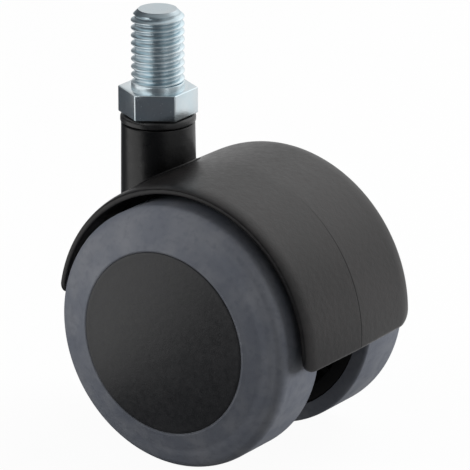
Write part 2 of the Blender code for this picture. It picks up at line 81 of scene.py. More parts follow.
class Slot(Enum):
    """The record's material slots, by name."""

    STEM_ZINC = "stem_zinc"
    BUSH_PLASTIC = "bush_plastic"
    HOOD_PLASTIC = "hood_plastic"
    CORE_PLASTIC = "core_plastic"
    CAP_PLASTIC = "cap_plastic"
    TREAD_RUBBER = "tread_rubber"


class Joining(Enum):
    """How one shape is put together with another."""

    UNION = "UNION"
    CUT = "DIFFERENCE"


class Side(Enum):
    """The two ends of the axle."""

    LEFT = "left"
    RIGHT = "right"

    @property
    def body(self) -> Body:
        """The body of this side's wheel."""
        return Body.LEFT_WHEEL if self is Side.LEFT else Body.RIGHT_WHEEL

    @property
    def place(self) -> Matrix:
        """Puts local Z on the axle, pointing outwards on this side."""
        tilt = 90.0 if self is Side.LEFT else -90.0
        return Matrix.Translation(AXLE) @ Matrix.Rotation(math.radians(tilt), 4, "X")


class Sock:
    """One output of a shader node, written into expressions."""

    def __init__(self, graph: "Graph", socket: bpy.types.NodeSocket) -> None:
        """Keeps the socket and the graph it belongs to."""
        self.graph = graph
        self.socket = socket

    def _math(self, operation: str, first: "Sock | float", second: "Sock | float") -> "Sock":
        """A Math node on two values."""
        return self.graph.node("ShaderNodeMath", {"operation": operation}, {0: first, 1: second})

    def __add__(self, other: "Sock | float") -> "Sock":
        """The sum of two values."""
        return self._math("ADD", self, other)

    def __radd__(self, other: float) -> "Sock":
        """The sum with a number written first."""
        return self._math("ADD", other, self)

    def __sub__(self, other: "Sock | float") -> "Sock":
        """The difference of two values."""
        return self._math("SUBTRACT", self, other)

    def __rsub__(self, other: float) -> "Sock":
        """The difference from a number written first."""
        return self._math("SUBTRACT", other, self)

    def __mul__(self, other: "Sock | float") -> "Sock":
        """The product of two values."""
        return self._math("MULTIPLY", self, other)

    def __rmul__(self, other: float) -> "Sock":
        """The product with a number written first."""
        return self._math("MULTIPLY", other, self)


class Graph:
    """A node tree that expressions and named nodes fill."""

    def __init__(self, tree: bpy.types.NodeTree) -> None:
        """Empties the tree.

        Args:
            tree: The node tree of a material or of the world.
        """
        self.tree = tree
        tree.nodes.clear()

    def node(
        self,
        kind: str,
        settings: dict[str, object] | None = None,
        sockets: dict[int | str, object] | None = None,
        output: int | str = 0,
    ) -> Sock | None:
        """Adds a node.

        Args:
            kind: The node's type.
            settings: The node's own settings, which are set first.
            sockets: Values or links of its inputs, by name or number.
            output: Which output to give back.

        Returns:
            That output, or None where the node has none.
        """
        made = self.tree.nodes.new(kind)
        for name, value in (settings or {}).items():
            setattr(made, name, value)
        for key, value in (sockets or {}).items():
            self.feed(made.inputs[key], value)
        return Sock(self, made.outputs[output]) if made.outputs else None

    def feed(self, socket: bpy.types.NodeSocket, value: object) -> None:
        """Links an output to an input, or sets the input's own value.

        Args:
            socket: The input.
            value: An output, a number, a vector or a colour.
        """
        if isinstance(value, Sock):
            self.tree.links.new(value.socket, socket)
        elif socket.type == "RGBA":
            socket.default_value = (*value, 1.0)
        else:
            socket.default_value = value

    def place(self) -> Sock:
        """Where a point is in the piece's own frame, in metres."""
        return self.node("ShaderNodeTexCoord", output="Object")

    def vector(self, operation: str, first: object, second: object, output: int = 0) -> Sock:
        """A Vector Math node on two vectors."""
        return self.node("ShaderNodeVectorMath", {"operation": operation}, {0: first, 1: second}, output)

    def noise(self, size: float, detail: float, stretch: Triple = (1.0, 1.0, 1.0)) -> Sock:
        """Cloudy noise from 0 to 1.

        Args:
            size: About how large one patch is, in metres.
            detail: How many finer layers it has.
            stretch: How much finer it is along each axis.

        Returns:
            The noise's value.
        """
        where = self.vector("MULTIPLY", self.place(), stretch)
        sockets = {"Vector": where, "Scale": 1.0 / size, "Detail": detail}
        return self.node("ShaderNodeTexNoise", sockets=sockets)

    def specks(self, size: float) -> Sock:
        """Distance from the nearest of many scattered points, from 0 at each."""
        sockets = {"Vector": self.place(), "Scale": 1.0 / size}
        return self.node("ShaderNodeTexVoronoi", sockets=sockets)

    def distance(self, centre: Triple, across: Triple) -> Sock:
        """How far a point is from an axis or a plane.

        Args:
            centre: A point on the axis or the plane.
            across: 1 for each direction that counts, 0 for the others.

        Returns:
            The distance, in metres.
        """
        away = self.vector("SUBTRACT", self.place(), centre)
        return self.vector("LENGTH", self.vector("MULTIPLY", away, across), ORIGIN, 1)

    def fit(self, value: Sock, start: float, end: float) -> Sock:
        """A smooth step of a value from 0 to 1.

        Args:
            value: What is stepped.
            start: Where the step starts.
            end: Where it ends.

        Returns:
            The stepped value.
        """
        sockets = {"Value": value, "From Min": start, "From Max": end}
        return self.node("ShaderNodeMapRange", {"interpolation_type": "SMOOTHSTEP"}, sockets)

    def band(self, value: Sock, rise: Point, fall: Point) -> Sock:
        """1 between two smooth steps of a value, and 0 outside them.

        Args:
            value: What is stepped.
            rise: Where the first step starts and ends.
            fall: Where the second step starts and ends.

        Returns:
            The stepped value.
        """
        return self.fit(value, *rise) * self.fit(value, fall[1], fall[0])

    def blend(self, factor: Sock, first: object, second: object, clamp: bool = True) -> Sock:
        """Mixes two colours.

        Args:
            factor: How much of the second shows.
            first: The colour below.
            second: The colour above.
            clamp: Whether the factor stops at 1.

        Returns:
            The mixed colour.
        """
        settings = {"data_type": "RGBA", "clamp_factor": clamp}
        sockets = {MIX_FACTOR: factor, MIX_FIRST: first, MIX_SECOND: second}
        return self.node("ShaderNodeMix", settings, sockets, MIX_RESULT)

    def bump(self, height: Sock, depth: float, below: Sock | None = None) -> Sock:
        """A normal from a height.

        Args:
            height: The height, from 0 to 1.
            depth: How deep that is, in metres.
            below: Another bump that this one lies on.

        Returns:
            The bumped normal.
        """
        sockets: dict[int | str, object] = {"Height": height, "Distance": depth}
        if below:
            sockets["Normal"] = below
        return self.node("ShaderNodeBump", sockets=sockets)

    def surface(self, sockets: dict[int | str, object]) -> None:
        """Ends the tree in one Principled shader with these inputs."""
        shader = self.node("ShaderNodeBsdfPrincipled", sockets=sockets)
        self.node("ShaderNodeOutputMaterial", sockets={"Surface": shader})


def new_graph(name: str) -> tuple[bpy.types.Material, Graph]:
    """A new material and its empty node tree.

    Args:
        name: The material's name.

    Returns:
        The material and its graph.
    """
    material = bpy.data.materials.new(name)
    material.use_nodes = True
    return material, Graph(material.node_tree)


class Finish(Protocol):
    """What every finish has."""

    name: str

    def material(self) -> bpy.types.Material:
        """The finish as a Blender material."""


@dataclass(frozen=True)
class MouldedPlastic:
    """Black moulded plastic with the grain and the cloudy texture of an eroded mould.

    Attributes:
        name: The material's name.
        colour: Its colour.
        rubbed: The paler tone that clouds it where hands and dust have been.
        roughness: Its middle roughness.
        gloss: Its specular level.
        grain: Size of the mould's fine grain.
        depth: Depth of that grain.
        texture: Size of the mould's coarser texture.
        relief: Depth of that texture.
        dull_shaded_inside: Radius about the axle inside which it is dull and darkened with painted shade,
            or 0.
        polished: Radius about the swivel axis inside which it is smoother and darker, with a dull foot, and
            whose darkening fades out over the hood round the foot as painted shade, or 0.
        parting: Half the width of the mould's parting line along the middle, or 0.
        cloud: Size of its clouds.
        dust: Distance between specks of dust.
        dust_colour: The colour of the dust.
        shade: Its tone where it is dull inside, as painted shade, and on the parting line.
        dull_shaded_fade: How soft the border of the dull, shaded inside is.
        tower_and_foot_shade: Its darker tone inside that radius, which round the tower's foot is painted
            shade.
        polish_and_shade_fade: How soft the border of the smoother, darker place is.
        foot_rise: Where the dull foot starts and is full, inside the radius of the smoother place.
        foot_fall: Where the dull foot fades and ends, outside that radius.
        line_reach: Distances from the swivel axis between which the parting line comes up.
        line_depth: Depth of the parting line.
    """

    name: str
    colour: Colour
    rubbed: Colour
    roughness: float
    gloss: float
    grain: float
    depth: float
    texture: float
    relief: float
    dull_shaded_inside: float = 0.0
    polished: float = 0.0
    parting: float = 0.0
    cloud: float = 0.011
    dust: float = 0.0009
    dust_colour: Colour = (0.16, 0.16, 0.16)
    shade: Colour = (0.0015, 0.0015, 0.0015)
    dull_shaded_fade: float = 0.0001
    tower_and_foot_shade: Colour = (0.0012, 0.0012, 0.0012)
    polish_and_shade_fade: float = 0.003
    foot_rise: Point = (0.00032, 0.00018)
    foot_fall: Point = (0.0001, 0.0007)
    line_reach: Point = (0.028, 0.0455)
    line_depth: float = 0.000015

    def material(self) -> bpy.types.Material:
        """The finish as a Blender material.

        Returns:
            The new material.
        """
        material, graph = new_graph(self.name)
        cloud = graph.noise(self.cloud, 4.0)
        grain = graph.noise(self.grain, 2.0)
        mottle = graph.noise(self.texture, 3.0)
        dust = graph.fit(graph.specks(self.dust), 0.10, 0.02)
        tone = graph.fit(cloud * 0.45 + mottle * 0.55, 0.36, 0.64)
        colour = graph.blend(tone, self.colour, self.rubbed)
        colour = graph.blend(dust * 0.06, colour, self.dust_colour)
        rough = self.roughness + (cloud - 0.5) * 0.08 + (mottle - 0.5) * 0.20
        rough = rough + (grain - 0.5) * 0.10 + dust * 0.10
        normal = graph.bump(grain, self.depth, graph.bump(mottle, self.relief))
        away = graph.distance(ORIGIN, ACROSS_STEM)
        if self.dull_shaded_inside:
            out = graph.distance(tuple(AXLE), ACROSS_AXLE)
            inside = graph.fit(out, self.dull_shaded_inside, self.dull_shaded_inside - self.dull_shaded_fade)
            # The colour darkens here: painted shade on the hood's inner skin, in the gap over the wheels.
            colour = graph.blend(inside * 0.8, colour, self.shade)
            rough = rough + inside * 0.5
        if self.polished:
            near = graph.fit(away, self.polished + self.polish_and_shade_fade, self.polished)
            # The colour darkens on the tower, and round its foot on the hood as painted shade.
            colour = graph.blend(near * 0.95, colour, self.tower_and_foot_shade)
            rise = tuple(self.polished - inset for inset in self.foot_rise)
            fall = tuple(self.polished + reach for reach in self.foot_fall)
            rough = rough - near * 0.08 + graph.band(away, rise, fall) * 0.5
        if self.parting:
            aside = graph.distance(ORIGIN, ACROSS_MIDDLE)
            line = graph.fit(aside, self.parting * 1.5, self.parting * 0.5)
            line = line * graph.fit(away, *self.line_reach)
            colour = graph.blend(line * 0.8, colour, self.shade)
            rough = rough + line * 0.35
            normal = graph.bump(1 - line, self.line_depth, normal)
        graph.surface(
            {
                "Base Color": colour,
                "Roughness": rough,
                "Specular IOR Level": self.gloss,
                "Normal": normal,
            }
        )
        return material


@dataclass(frozen=True)
class TreadRubber:
    """Soft grey tread rubber, matt, with a bloom and fine dust.

    Attributes:
        name: The material's name.
        colour: Its colour.
        bloom: The paler tone of its bloom.
        shade: The darker tone of its clouds.
        seam_shade: The tone of the painted shade in the seam round the cap.
        roughness: Its middle roughness.
        gloss: Its specular level.
        tread: Radius at which the running surface starts.
        tread_fade: How soft that border is.
        lip: Radius of the lip round the cap, where the painted shade lies.
        lip_fade: How far the painted shade reaches.
        cloud: Size of its clouds.
        fine: Size of its finer clouds.
        relief: Depth of the finer clouds.
        grain: Size of its grain.
        depth: Depth of that grain.
        dust: Distance between specks of dust.
        dust_colour: The colour of the dust.
    """

    name: str
    colour: Colour
    bloom: Colour
    shade: Colour
    seam_shade: Colour
    roughness: float
    gloss: float
    tread: float
    lip: float
    tread_fade: float = 0.0006
    lip_fade: float = 0.0005
    cloud: float = 0.0055
    fine: float = 0.0014
    relief: float = 0.000035
    grain: float = 0.00018
    depth: float = 0.000014
    dust: float = 0.0007
    dust_colour: Colour = (0.30, 0.30, 0.31)

    def material(self) -> bpy.types.Material:
        """The finish as a Blender material.

        Returns:
            The new material.
        """
        material, graph = new_graph(self.name)
        cloud = graph.noise(self.cloud, 5.0)
        fine = graph.noise(self.fine, 3.0)
        grain = graph.noise(self.grain, 2.0)
        dust = graph.fit(graph.specks(self.dust), 0.14, 0.03)
        radius = graph.distance(tuple(AXLE), ACROSS_AXLE)
        running = graph.fit(radius, self.tread, self.tread + self.tread_fade)
        # Within reach of the lip the colour is darkened: painted shade in the seam between the tread and
        # the cap.
        seam_shade = graph.fit(radius, self.lip + self.lip_fade, self.lip)
        colour = graph.blend(graph.fit(cloud, 0.35, 0.70), self.colour, self.bloom)
        colour = graph.blend(graph.fit(fine, 0.45, 0.75) * 0.45, colour, self.shade)
        colour = graph.blend(running * 0.15, colour, self.shade)
        colour = graph.blend(dust * 0.12, colour, self.dust_colour)
        colour = graph.blend(seam_shade * 0.7, colour, self.seam_shade)
        graph.surface(
            {
                "Base Color": colour,
                "Roughness": self.roughness + (fine - 0.5) * 0.12 + running * 0.08,
                "Specular IOR Level": self.gloss,
                "Normal": graph.bump(grain, self.depth, graph.bump(fine, self.relief)),
            }
        )
        return material


@dataclass(frozen=True)
class ZincPlate:
    """Bright zinc plate with a blue passivated bloom, rubbed bright on the crests of the thread, partly as
    wear and partly as a painted highlight.

    Attributes:
        name: The material's name.
        colour: The plate's colour.
        bloom: Its bluish bloom.
        rubbed: The bright metal of rubbed edges, which on the crests is also a painted highlight.
        stain: The tone of pits and of the thread's root.
        roughness: Its middle roughness.
        root: Radius of the thread's root.
        crest: Radius of the thread's crest.
        cloud: Size of its clouds.
        fine: Size of its fine texture.
        relief: Depth of that texture.
        drawn: Size of its drawing marks.
        lines: Which way the marks are finest.
        depth: Depth of the marks.
        pits: Distance between pits.
        worn_highlight_rise: How far below the crest the rubbed metal and painted highlight start.
        worn_highlight_fall: How far outside the crest they end.
        root_fade: How far above the root the stain reaches.
        thread_rise: How far below the root the thread's bloom starts and is full.
        thread_fall: How far outside the crest it ends.
    """

    name: str
    colour: Colour
    bloom: Colour
    rubbed: Colour
    stain: Colour
    roughness: float
    root: float
    crest: float
    cloud: float = 0.0045
    fine: float = 0.0005
    relief: float = 0.000008
    drawn: float = 0.0006
    lines: Triple = (0.25, 0.25, 5.0)
    depth: float = 0.000006
    pits: float = 0.0006
    worn_highlight_rise: float = 0.00025
    worn_highlight_fall: float = 0.0008
    root_fade: float = 0.0003
    thread_rise: Point = (0.0006, 0.0002)
    thread_fall: float = 0.0003

    def material(self) -> bpy.types.Material:
        """The finish as a Blender material.

        Returns:
            The new material.
        """
        material, graph = new_graph(self.name)
        cloud = graph.noise(self.cloud, 4.0)
        fine = graph.noise(self.fine, 3.0)
        drawn = graph.noise(self.drawn, 3.0, self.lines)
        pits = graph.fit(graph.specks(self.pits), 0.10, 0.02)
        radius = graph.distance(ORIGIN, ACROSS_STEM)
        root, crest = self.root, self.crest
        # The crests are blended towards bright metal: partly wear, partly a painted highlight.
        worn_highlight = graph.band(radius, (crest - self.worn_highlight_rise, crest), (crest, crest + self.worn_highlight_fall))
        rooted = graph.fit(radius, root + self.root_fade, root)
        rise = tuple(root - inset for inset in self.thread_rise)
        threaded = graph.band(radius, rise, (crest, crest + self.thread_fall))
        clouded = graph.fit(cloud, 0.30, 0.70) * 0.6 + threaded * 0.4
        colour = graph.blend(clouded, self.colour, self.bloom)
        colour = graph.blend(worn_highlight * 0.4, colour, self.rubbed)
        colour = graph.blend(pits * 0.25 + rooted * 0.20, colour, self.stain)
        rough = self.roughness + (fine - 0.5) * 0.14 + pits * 0.15 + rooted * 0.08 + threaded * 0.10
        graph.surface(
            {
                "Base Color": colour,
                "Roughness": rough,
                "Metallic": 1.0,
                "Normal": graph.bump(drawn, self.depth, graph.bump(fine, self.relief)),
            }
        )
        return material


@dataclass(frozen=True)
class TurnedSteel:
    """Plain or hardened steel with fine turning marks and a film of oil.

    Attributes:
        name: The material's name.
        colour: Its colour.
        film: The darker tone of the oil film.
        roughness: Its middle roughness.
        lines: Which way the marks are finest.
        cloud: Size of the film's clouds.
        marks: Size of the turning marks.
        depth: Depth of the marks.
    """

    name: str
    colour: Colour
    film: Colour
    roughness: float
    lines: Triple
    cloud: float = 0.004
    marks: float = 0.0008
    depth: float = 0.000006

    def material(self) -> bpy.types.Material:
        """The finish as a Blender material.

        Returns:
            The new material.
        """
        material, graph = new_graph(self.name)
        cloud = graph.noise(self.cloud, 4.0)
        marks = graph.noise(self.marks, 3.0, self.lines)
        graph.surface(
            {
                "Base Color": graph.blend(graph.fit(cloud, 0.35, 0.75), self.colour, self.film),
                "Roughness": self.roughness + (marks - 0.5) * 0.20 + (cloud - 0.5) * 0.10,
                "Metallic": 1.0,
                "Normal": graph.bump(marks, self.depth),
            }
        )
        return material


HOOD_NYLON = MouldedPlastic(
    name="hood_nylon",
    colour=(0.0050, 0.0044, 0.0044),
    rubbed=(0.0105, 0.0093, 0.0093),
    roughness=0.40,
    gloss=0.50,
    grain=0.00022,
    depth=0.000014,
    texture=0.0012,
    relief=0.000040,
    # Its inner skin is darkened with painted shade.
    dull_shaded_inside=0.02676,
    # The tower is darker, and painted shade fades out over the hood round its foot.
    polished=0.0074,
    parting=0.00013,
)
CAP_NYLON = MouldedPlastic(
    name="cap_nylon",
    colour=(0.0094, 0.0096, 0.0104),
    rubbed=(0.0148, 0.0149, 0.0160),
    roughness=0.36,
    gloss=0.60,
    grain=0.00020,
    depth=0.000012,
    texture=0.0010,
    relief=0.000026,
)
# Darker than the other mouldings: painted shade for the hollow between the wheels, where the core shows.
SHADED_CORE_NYLON = MouldedPlastic(
    name="core_nylon",
    colour=(0.0022, 0.0022, 0.0024),
    rubbed=(0.0040, 0.0040, 0.0042),
    roughness=0.66,
    gloss=0.14,
    grain=0.00026,
    depth=0.000010,
    texture=0.0014,
    relief=0.000012,
)
BUSH_ACETAL = MouldedPlastic(
    name="bush_acetal",
    colour=(0.0110, 0.0110, 0.0112),
    rubbed=(0.0170, 0.0170, 0.0172),
    roughness=0.30,
    gloss=0.50,
    grain=0.00015,
    depth=0.000004,
    texture=0.0012,
    relief=0.000006,
)
TREAD_GREY = TreadRubber(
    name="tread_grey",
    colour=(0.114, 0.124, 0.149),
    bloom=(0.156, 0.164, 0.184),
    shade=(0.082, 0.091, 0.114),
    # Painted shade in the seam round the cap.
    seam_shade=(0.024, 0.026, 0.031),
    roughness=0.56,
    gloss=0.60,
    tread=0.0243,
    lip=0.0173,
)
STEM_ZINC = ZincPlate(
    name="stem_zinc_plate",
    colour=(0.70, 0.755, 0.78),
    bloom=(0.58, 0.715, 0.775),
    # Bright crests: partly wear, partly a painted highlight.
    rubbed=(0.82, 0.88, 0.90),
    stain=(0.20, 0.22, 0.25),
    roughness=0.22,
    root=0.0041,
    crest=0.0050,
)
AXLE_STEEL = TurnedSteel(
    name="axle_steel",
    colour=(0.52, 0.52, 0.53),
    film=(0.34, 0.33, 0.32),
    roughness=0.34,
    lines=(0.3, 4.0, 0.3),
)
CLIP_STEEL = TurnedSteel(
    name="clip_steel",
    colour=(0.17, 0.17, 0.18),
    film=(0.08, 0.08, 0.09),
    roughness=0.40,
    lines=(2.0, 1.0, 2.0),
)


def rounded(corners: Sequence[Triple], steps: int = 5) -> list[Point]:
    """Rounds the corners of an outline.

    Args:
        corners: Each corner's two coordinates and the radius that rounds it.
        steps: How many straight pieces stand for each arc.

    Returns:
        The outline's points.
    """
    points: list[Point] = []
    for i, (x, y, radius) in enumerate(corners):
        here = Vector((x, y))
        if radius <= 0.0:
            points.append((x, y))
            continue
        back = (Vector(corners[i - 1][:2]) - here).normalized()
        ahead = (Vector(corners[(i + 1) % len(corners)][:2]) - here).normalized()
        half = back.angle(ahead) / 2
        centre = here + (back + ahead).normalized() * (radius / math.sin(half))
        start = here + back * (radius / math.tan(half)) - centre
        turn = math.copysign(math.pi - 2 * half, back.x * ahead.y - back.y * ahead.x)
        for k in range(steps + 1):
            angle = -turn * k / steps
            points.append(
                (
                    centre.x + start.x * math.cos(angle) - start.y * math.sin(angle),
                    centre.y + start.x * math.sin(angle) + start.y * math.cos(angle),
                )
            )
    return points


def arc(centre: Point, radius: float, start: float, end: float, steps: int) -> list[Point]:
    """Points on an arc.

    Args:
        centre: Its centre.
        radius: Its radius.
        start: The angle where it starts, in degrees.
        end: The angle where it ends.
        steps: How many straight pieces it has.

    Returns:
        The points, both ends among them.
    """
    angles = [math.radians(start + (end - start) * k / steps) for k in range(steps + 1)]
    return [(centre[0] + radius * math.cos(a), centre[1] + radius * math.sin(a)) for a in angles]


def quarter(steps: int) -> list[Point]:
    """A quarter of a round edge, of size 1.

    Args:
        steps: How many straight pieces it has.

    Returns:
        How far out and how far down each point is, from (0, 0) to (1, 1).
    """
    turns = [math.pi / 2 * k / steps for k in range(steps + 1)]
    return [(math.sin(turn), 1 - math.cos(turn)) for turn in turns]


def lattice(shape: bmesh.types.BMesh, rows: Grid, rows_meet: bool = False, ends_meet: bool = False) -> None:
    """Fills the quads between neighbouring rows of vertices.

    Args:
        shape: Where the faces go.
        rows: The vertices, row by row.
        rows_meet: Whether the last row is next to the first.
        ends_meet: Whether each row's last vertex is next to its first.
    """
    for row, beside in zip(rows, [*rows[1:], rows[0]] if rows_meet else rows[1:]):
        for i in range(len(row) if ends_meet else len(row) - 1):
            j = (i + 1) % len(row)
            shape.faces.new((row[i], beside[i], beside[j], row[j]))


def to_piece(name: str, shape: bmesh.types.BMesh) -> bpy.types.Object:
    """A new object from a bmesh, which is freed.

    Args:
        name: The object's name.
        shape: Its faces.

    Returns:
        The object, in the scene.
    """
    bmesh.ops.remove_doubles(shape, verts=shape.verts, dist=WELD)
    bmesh.ops.recalc_face_normals(shape, faces=shape.faces)
    mesh = bpy.data.meshes.new(name)
    shape.to_mesh(mesh)
    shape.free()
    piece = bpy.data.objects.new(name, mesh)
    bpy.context.scene.collection.objects.link(piece)
    return piece


def turned_by(
    name: str, outline: Callable[[float], Sequence[Point]], steps: int, place: Matrix, closed: bool = True
) -> bpy.types.Object:
    """A shape turned about an axis, whose outline may change as it goes round.

    Args:
        name: The object's name.
        outline: Gives the (radius, height) points at an angle.
        steps: How many facets it has all round.
        place: Where local Z, the axis, goes.
        closed: Whether the outline is a ring's section, rather than one that ends on the axis.

    Returns:
        The object.
    """
    shape = bmesh.new()
    columns = []
    for k in range(steps):
        angle = math.tau * k / steps
        points = [Vector((r * math.cos(angle), r * math.sin(angle), h)) for r, h in outline(angle)]
        columns.append([shape.verts.new(place @ point) for point in points])
    lattice(shape, columns, rows_meet=True, ends_meet=closed)
    return to_piece(name, shape)


def turned(
    name: str, outline: Sequence[Point], steps: int, place: Matrix, closed: bool = True
) -> bpy.types.Object:
    """A shape turned about an axis.

    Args:
        name: The object's name.
        outline: Its (radius, height) points.
        steps: How many facets it has all round.
        place: Where local Z, the axis, goes.
        closed: Whether the outline is a ring's section, rather than one that ends on the axis.

    Returns:
        The object.
    """
    return turned_by(name, lambda angle: outline, steps, place, closed)


def prism(name: str, outline: Sequence[Point], low: float, high: float, place: Matrix) -> bpy.types.Object:
    """A flat outline drawn out along local Z.

    Args:
        name: The object's name.
        outline: Its points in local X and Y.
        low: Where it starts along Z.
        high: Where it ends.
        place: Where its local frame goes.

    Returns:
        The object.
    """
    shape = bmesh.new()
    near, far = ([shape.verts.new(place @ Vector((x, y, z))) for x, y in outline] for z in (low, high))
    shape.faces.new(near)
    shape.faces.new(far[::-1])
    lattice(shape, (near, far), ends_meet=True)
    return to_piece(name, shape)


def settle(piece: bpy.types.Object) -> None:
    """Makes a piece's evaluated shape its own mesh.

    Args:
        piece: What is changed.
    """
    bpy.context.view_layer.update()
    graph = bpy.context.evaluated_depsgraph_get()
    mesh = bpy.data.meshes.new_from_object(piece.evaluated_get(graph))
    piece.modifiers.clear()
    piece.data = mesh


def weld(piece: bpy.types.Object) -> None:
    """Takes out the tiny edges and faces that a joint leaves along its seam.

    Args:
        piece: What is changed.
    """
    shape = bmesh.new()
    shape.from_mesh(piece.data)
    bmesh.ops.remove_doubles(shape, verts=shape.verts, dist=WELD)
    bmesh.ops.dissolve_degenerate(shape, edges=shape.edges, dist=WELD)
    wires = [edge for edge in shape.edges if not edge.link_faces]
    bmesh.ops.delete(shape, geom=wires, context="EDGES")
    shape.to_mesh(piece.data)
    shape.free()


def split_faces(piece: bpy.types.Object) -> None:
    """Splits the many-sided faces of a piece into even triangles.

    Args:
        piece: What is changed.
    """
    shape = bmesh.new()
    shape.from_mesh(piece.data)
    wide = [face for face in shape.faces if len(face.verts) > QUAD]
    bmesh.ops.triangulate(shape, faces=wide, ngon_method="BEAUTY")
    bmesh.ops.dissolve_degenerate(shape, edges=shape.edges, dist=WELD)
    shape.to_mesh(piece.data)
    shape.free()


def combine(piece: bpy.types.Object, other: bpy.types.Object, joining: Joining) -> None:
    """Joins another shape to a piece or cuts it away, and removes that shape.

    Args:
        piece: What is changed.
        other: The shape that is used up.
        joining: How they are put together.
    """
    modifier = piece.modifiers.new(other.name, "BOOLEAN")
    modifier.object = other
    modifier.operation = joining.value
    modifier.solver = "EXACT"
    settle(piece)
    weld(piece)
    bpy.data.objects.remove(other, do_unlink=True)


def soften(piece: bpy.types.Object, width: float, segments: int) -> None:
    """Rounds the crisp edges of a piece.

    Args:
        piece: What is changed.
        width: How far each round reaches from its edge.
        segments: How many faces each round has.
    """
    modifier = piece.modifiers.new("soft_edges", "BEVEL")
    modifier.width = width
    modifier.segments = segments
    modifier.limit_method = "ANGLE"
    modifier.angle_limit = CRISP_ANGLE
    settle(piece)


def put_on(piece: bpy.types.Object, finish: Finish) -> None:
    """Gives a piece its finish.

    Args:
        piece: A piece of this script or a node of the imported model.
        finish: What it is made of.
    """
    material = bpy.data.materials.get(finish.name) or finish.material()
    piece.data.materials.clear()
    piece.data.materials.append(material)


def dress(piece: bpy.types.Object, finish: Finish, body: Body, node: str) -> None:
    """Finishes a piece and hangs it on its body.

    Args:
        piece: The piece.
        finish: What it is made of.
        body: The body that carries it.
        node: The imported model's node that it stands for.
    """
    split_faces(piece)
    piece.data.shade_smooth()
    piece.data.set_sharp_from_angle(angle=CRISP_ANGLE)
    put_on(piece, finish)
    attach(piece, body.value)
    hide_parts(node)
    LOG.info("%s: %d faces, on %s", piece.name, len(piece.data.polygons), body.value)


def dress_node(node: str, finish: Finish) -> None:
    """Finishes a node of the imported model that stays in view.

    Args:
        node: The node's name.
        finish: What it is made of.
    """
    put_on(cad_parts[node], finish)
    LOG.info("%s: kept, in %s", node, finish.name)


@dataclass
class Stem:
    """The threaded pin with its hexagon and the journal that swivels in the tower."""

    thread_radius: float = 0.0050
    root_radius: float = 0.00416
    pitch: float = 0.0015
    thread_length: float = 0.0150
    thread_sink: float = 0.0015
    lead_turns: int = 3
    crest: float = 0.00019
    crest_soft: float = 0.00006
    flank_angle: float = 30.0
    chamfer: float = 0.0014
    collar_top: float = 0.0011
    collar_round: float = 0.00025
    across_flats: float = 0.0130
    hex_height: float = 0.0050
    hex_edge: float = 0.00022
    hex_edge_faces: int = 3
    journal_radius: float = 0.0040
    groove_radius: float = 0.0032
    groove_top: float = -0.0329
    groove_base: float = -0.0341
    end: float = -0.0354
    end_round: float = 0.0006
    steps: int = 96

    def thread_rows(self) -> list[Point]:
        """One turn of the thread, from the middle of a crest to just below the next.

        Returns:
            Heights and radii along it.
        """
        crest, root, soft = self.thread_radius, self.root_radius, self.crest_soft
        half = self.crest / 2
        flank = half + (crest - root) * math.tan(math.radians(self.flank_angle))
        rows = [
            (0.0, crest),
            (half - soft / 2, crest - soft / 6),
            (half + soft, crest - 1.5 * soft),
            ((half + flank) / 2, (crest + root) / 2),
            (flank - 1.5 * soft, root + 2 * soft),
            (flank + 1.5 * soft, root + soft / 3),
            (self.pitch / 2, root),
        ]
        return rows + [(self.pitch - rise, radius) for rise, radius in rows[-2:0:-1]]

    def thread(self) -> bpy.types.Object:
        """The helical thread, cut flat inside the hexagon and at the chamfered tip.

        Returns:
            The thread as a solid.
        """
        rows = self.thread_rows()
        turns = math.ceil(self.thread_length / self.pitch) + self.lead_turns + 1
        tip = self.thread_radius - self.chamfer
        shape = bmesh.new()
        columns = []
        for k in range(self.steps + 1):
            angle = math.tau * k / self.steps
            column = []
            for turn in range(turns):
                for rise, radius in rows:
                    height = (turn - self.lead_turns + k / self.steps) * self.pitch + rise
                    kept = min(radius, tip + max(self.thread_length - height, 0.0))
                    point = (kept * math.cos(angle), kept * math.sin(angle), height)
                    column.append(shape.verts.new(point))
            columns.append(column)
        lattice(shape, columns)
        bmesh.ops.remove_doubles(shape, verts=shape.verts, dist=WELD)
        for height, way in ((-self.thread_sink, -1.0), (self.thread_length, 1.0)):
            cut = bmesh.ops.bisect_plane(
                shape,
                geom=[*shape.verts, *shape.edges, *shape.faces],
                plane_co=(0.0, 0.0, height),
                plane_no=(0.0, 0.0, way),
                clear_outer=True,
            )
            edges = [edge for edge in cut["geom_cut"] if isinstance(edge, bmesh.types.BMEdge)]
            bmesh.ops.contextual_create(shape, geom=edges)
        return to_piece("stem_thread", shape)

    def hexagon(self) -> bpy.types.Object:
        """The spanner hexagon with softened edges.

        Returns:
            The hexagon as a solid.
        """
        corner = self.across_flats / math.sqrt(3.0)
        outline = arc((0.0, 0.0), corner, 30.0, 330.0, 5)
        hexagon = prism("stem_hexagon", outline, -self.hex_height, 0.0, UPRIGHT)
        soften(hexagon, self.hex_edge, self.hex_edge_faces)
        return hexagon

    def build(self) -> None:
        """Builds the stem as one piece of metal and dresses it and its keepers."""
        middle = -self.hex_height / 2
        corners = [
            (0.0, self.collar_top, 0.0),
            (self.thread_radius, self.collar_top, self.collar_round),
            (self.thread_radius, middle, 0.0),
            (self.journal_radius, middle, 0.0),
            (self.journal_radius, self.groove_top, 0.0),
            (self.groove_radius, self.groove_top, 0.0),
            (self.groove_radius, self.groove_base, 0.0),
            (self.journal_radius, self.groove_base, 0.0),
            (self.journal_radius, self.end, self.end_round),
            (0.0, self.end, 0.0),
        ]
        stem = turned("stem_pin", rounded(corners), self.steps, UPRIGHT, closed=False)
        combine(stem, self.hexagon(), Joining.UNION)
        combine(stem, self.thread(), Joining.UNION)
        dress(stem, STEM_ZINC, Body.STEM, "threaded_stem")
        dress_node("stem_washer", AXLE_STEEL)
        dress_node("stem_circlip", CLIP_STEEL)


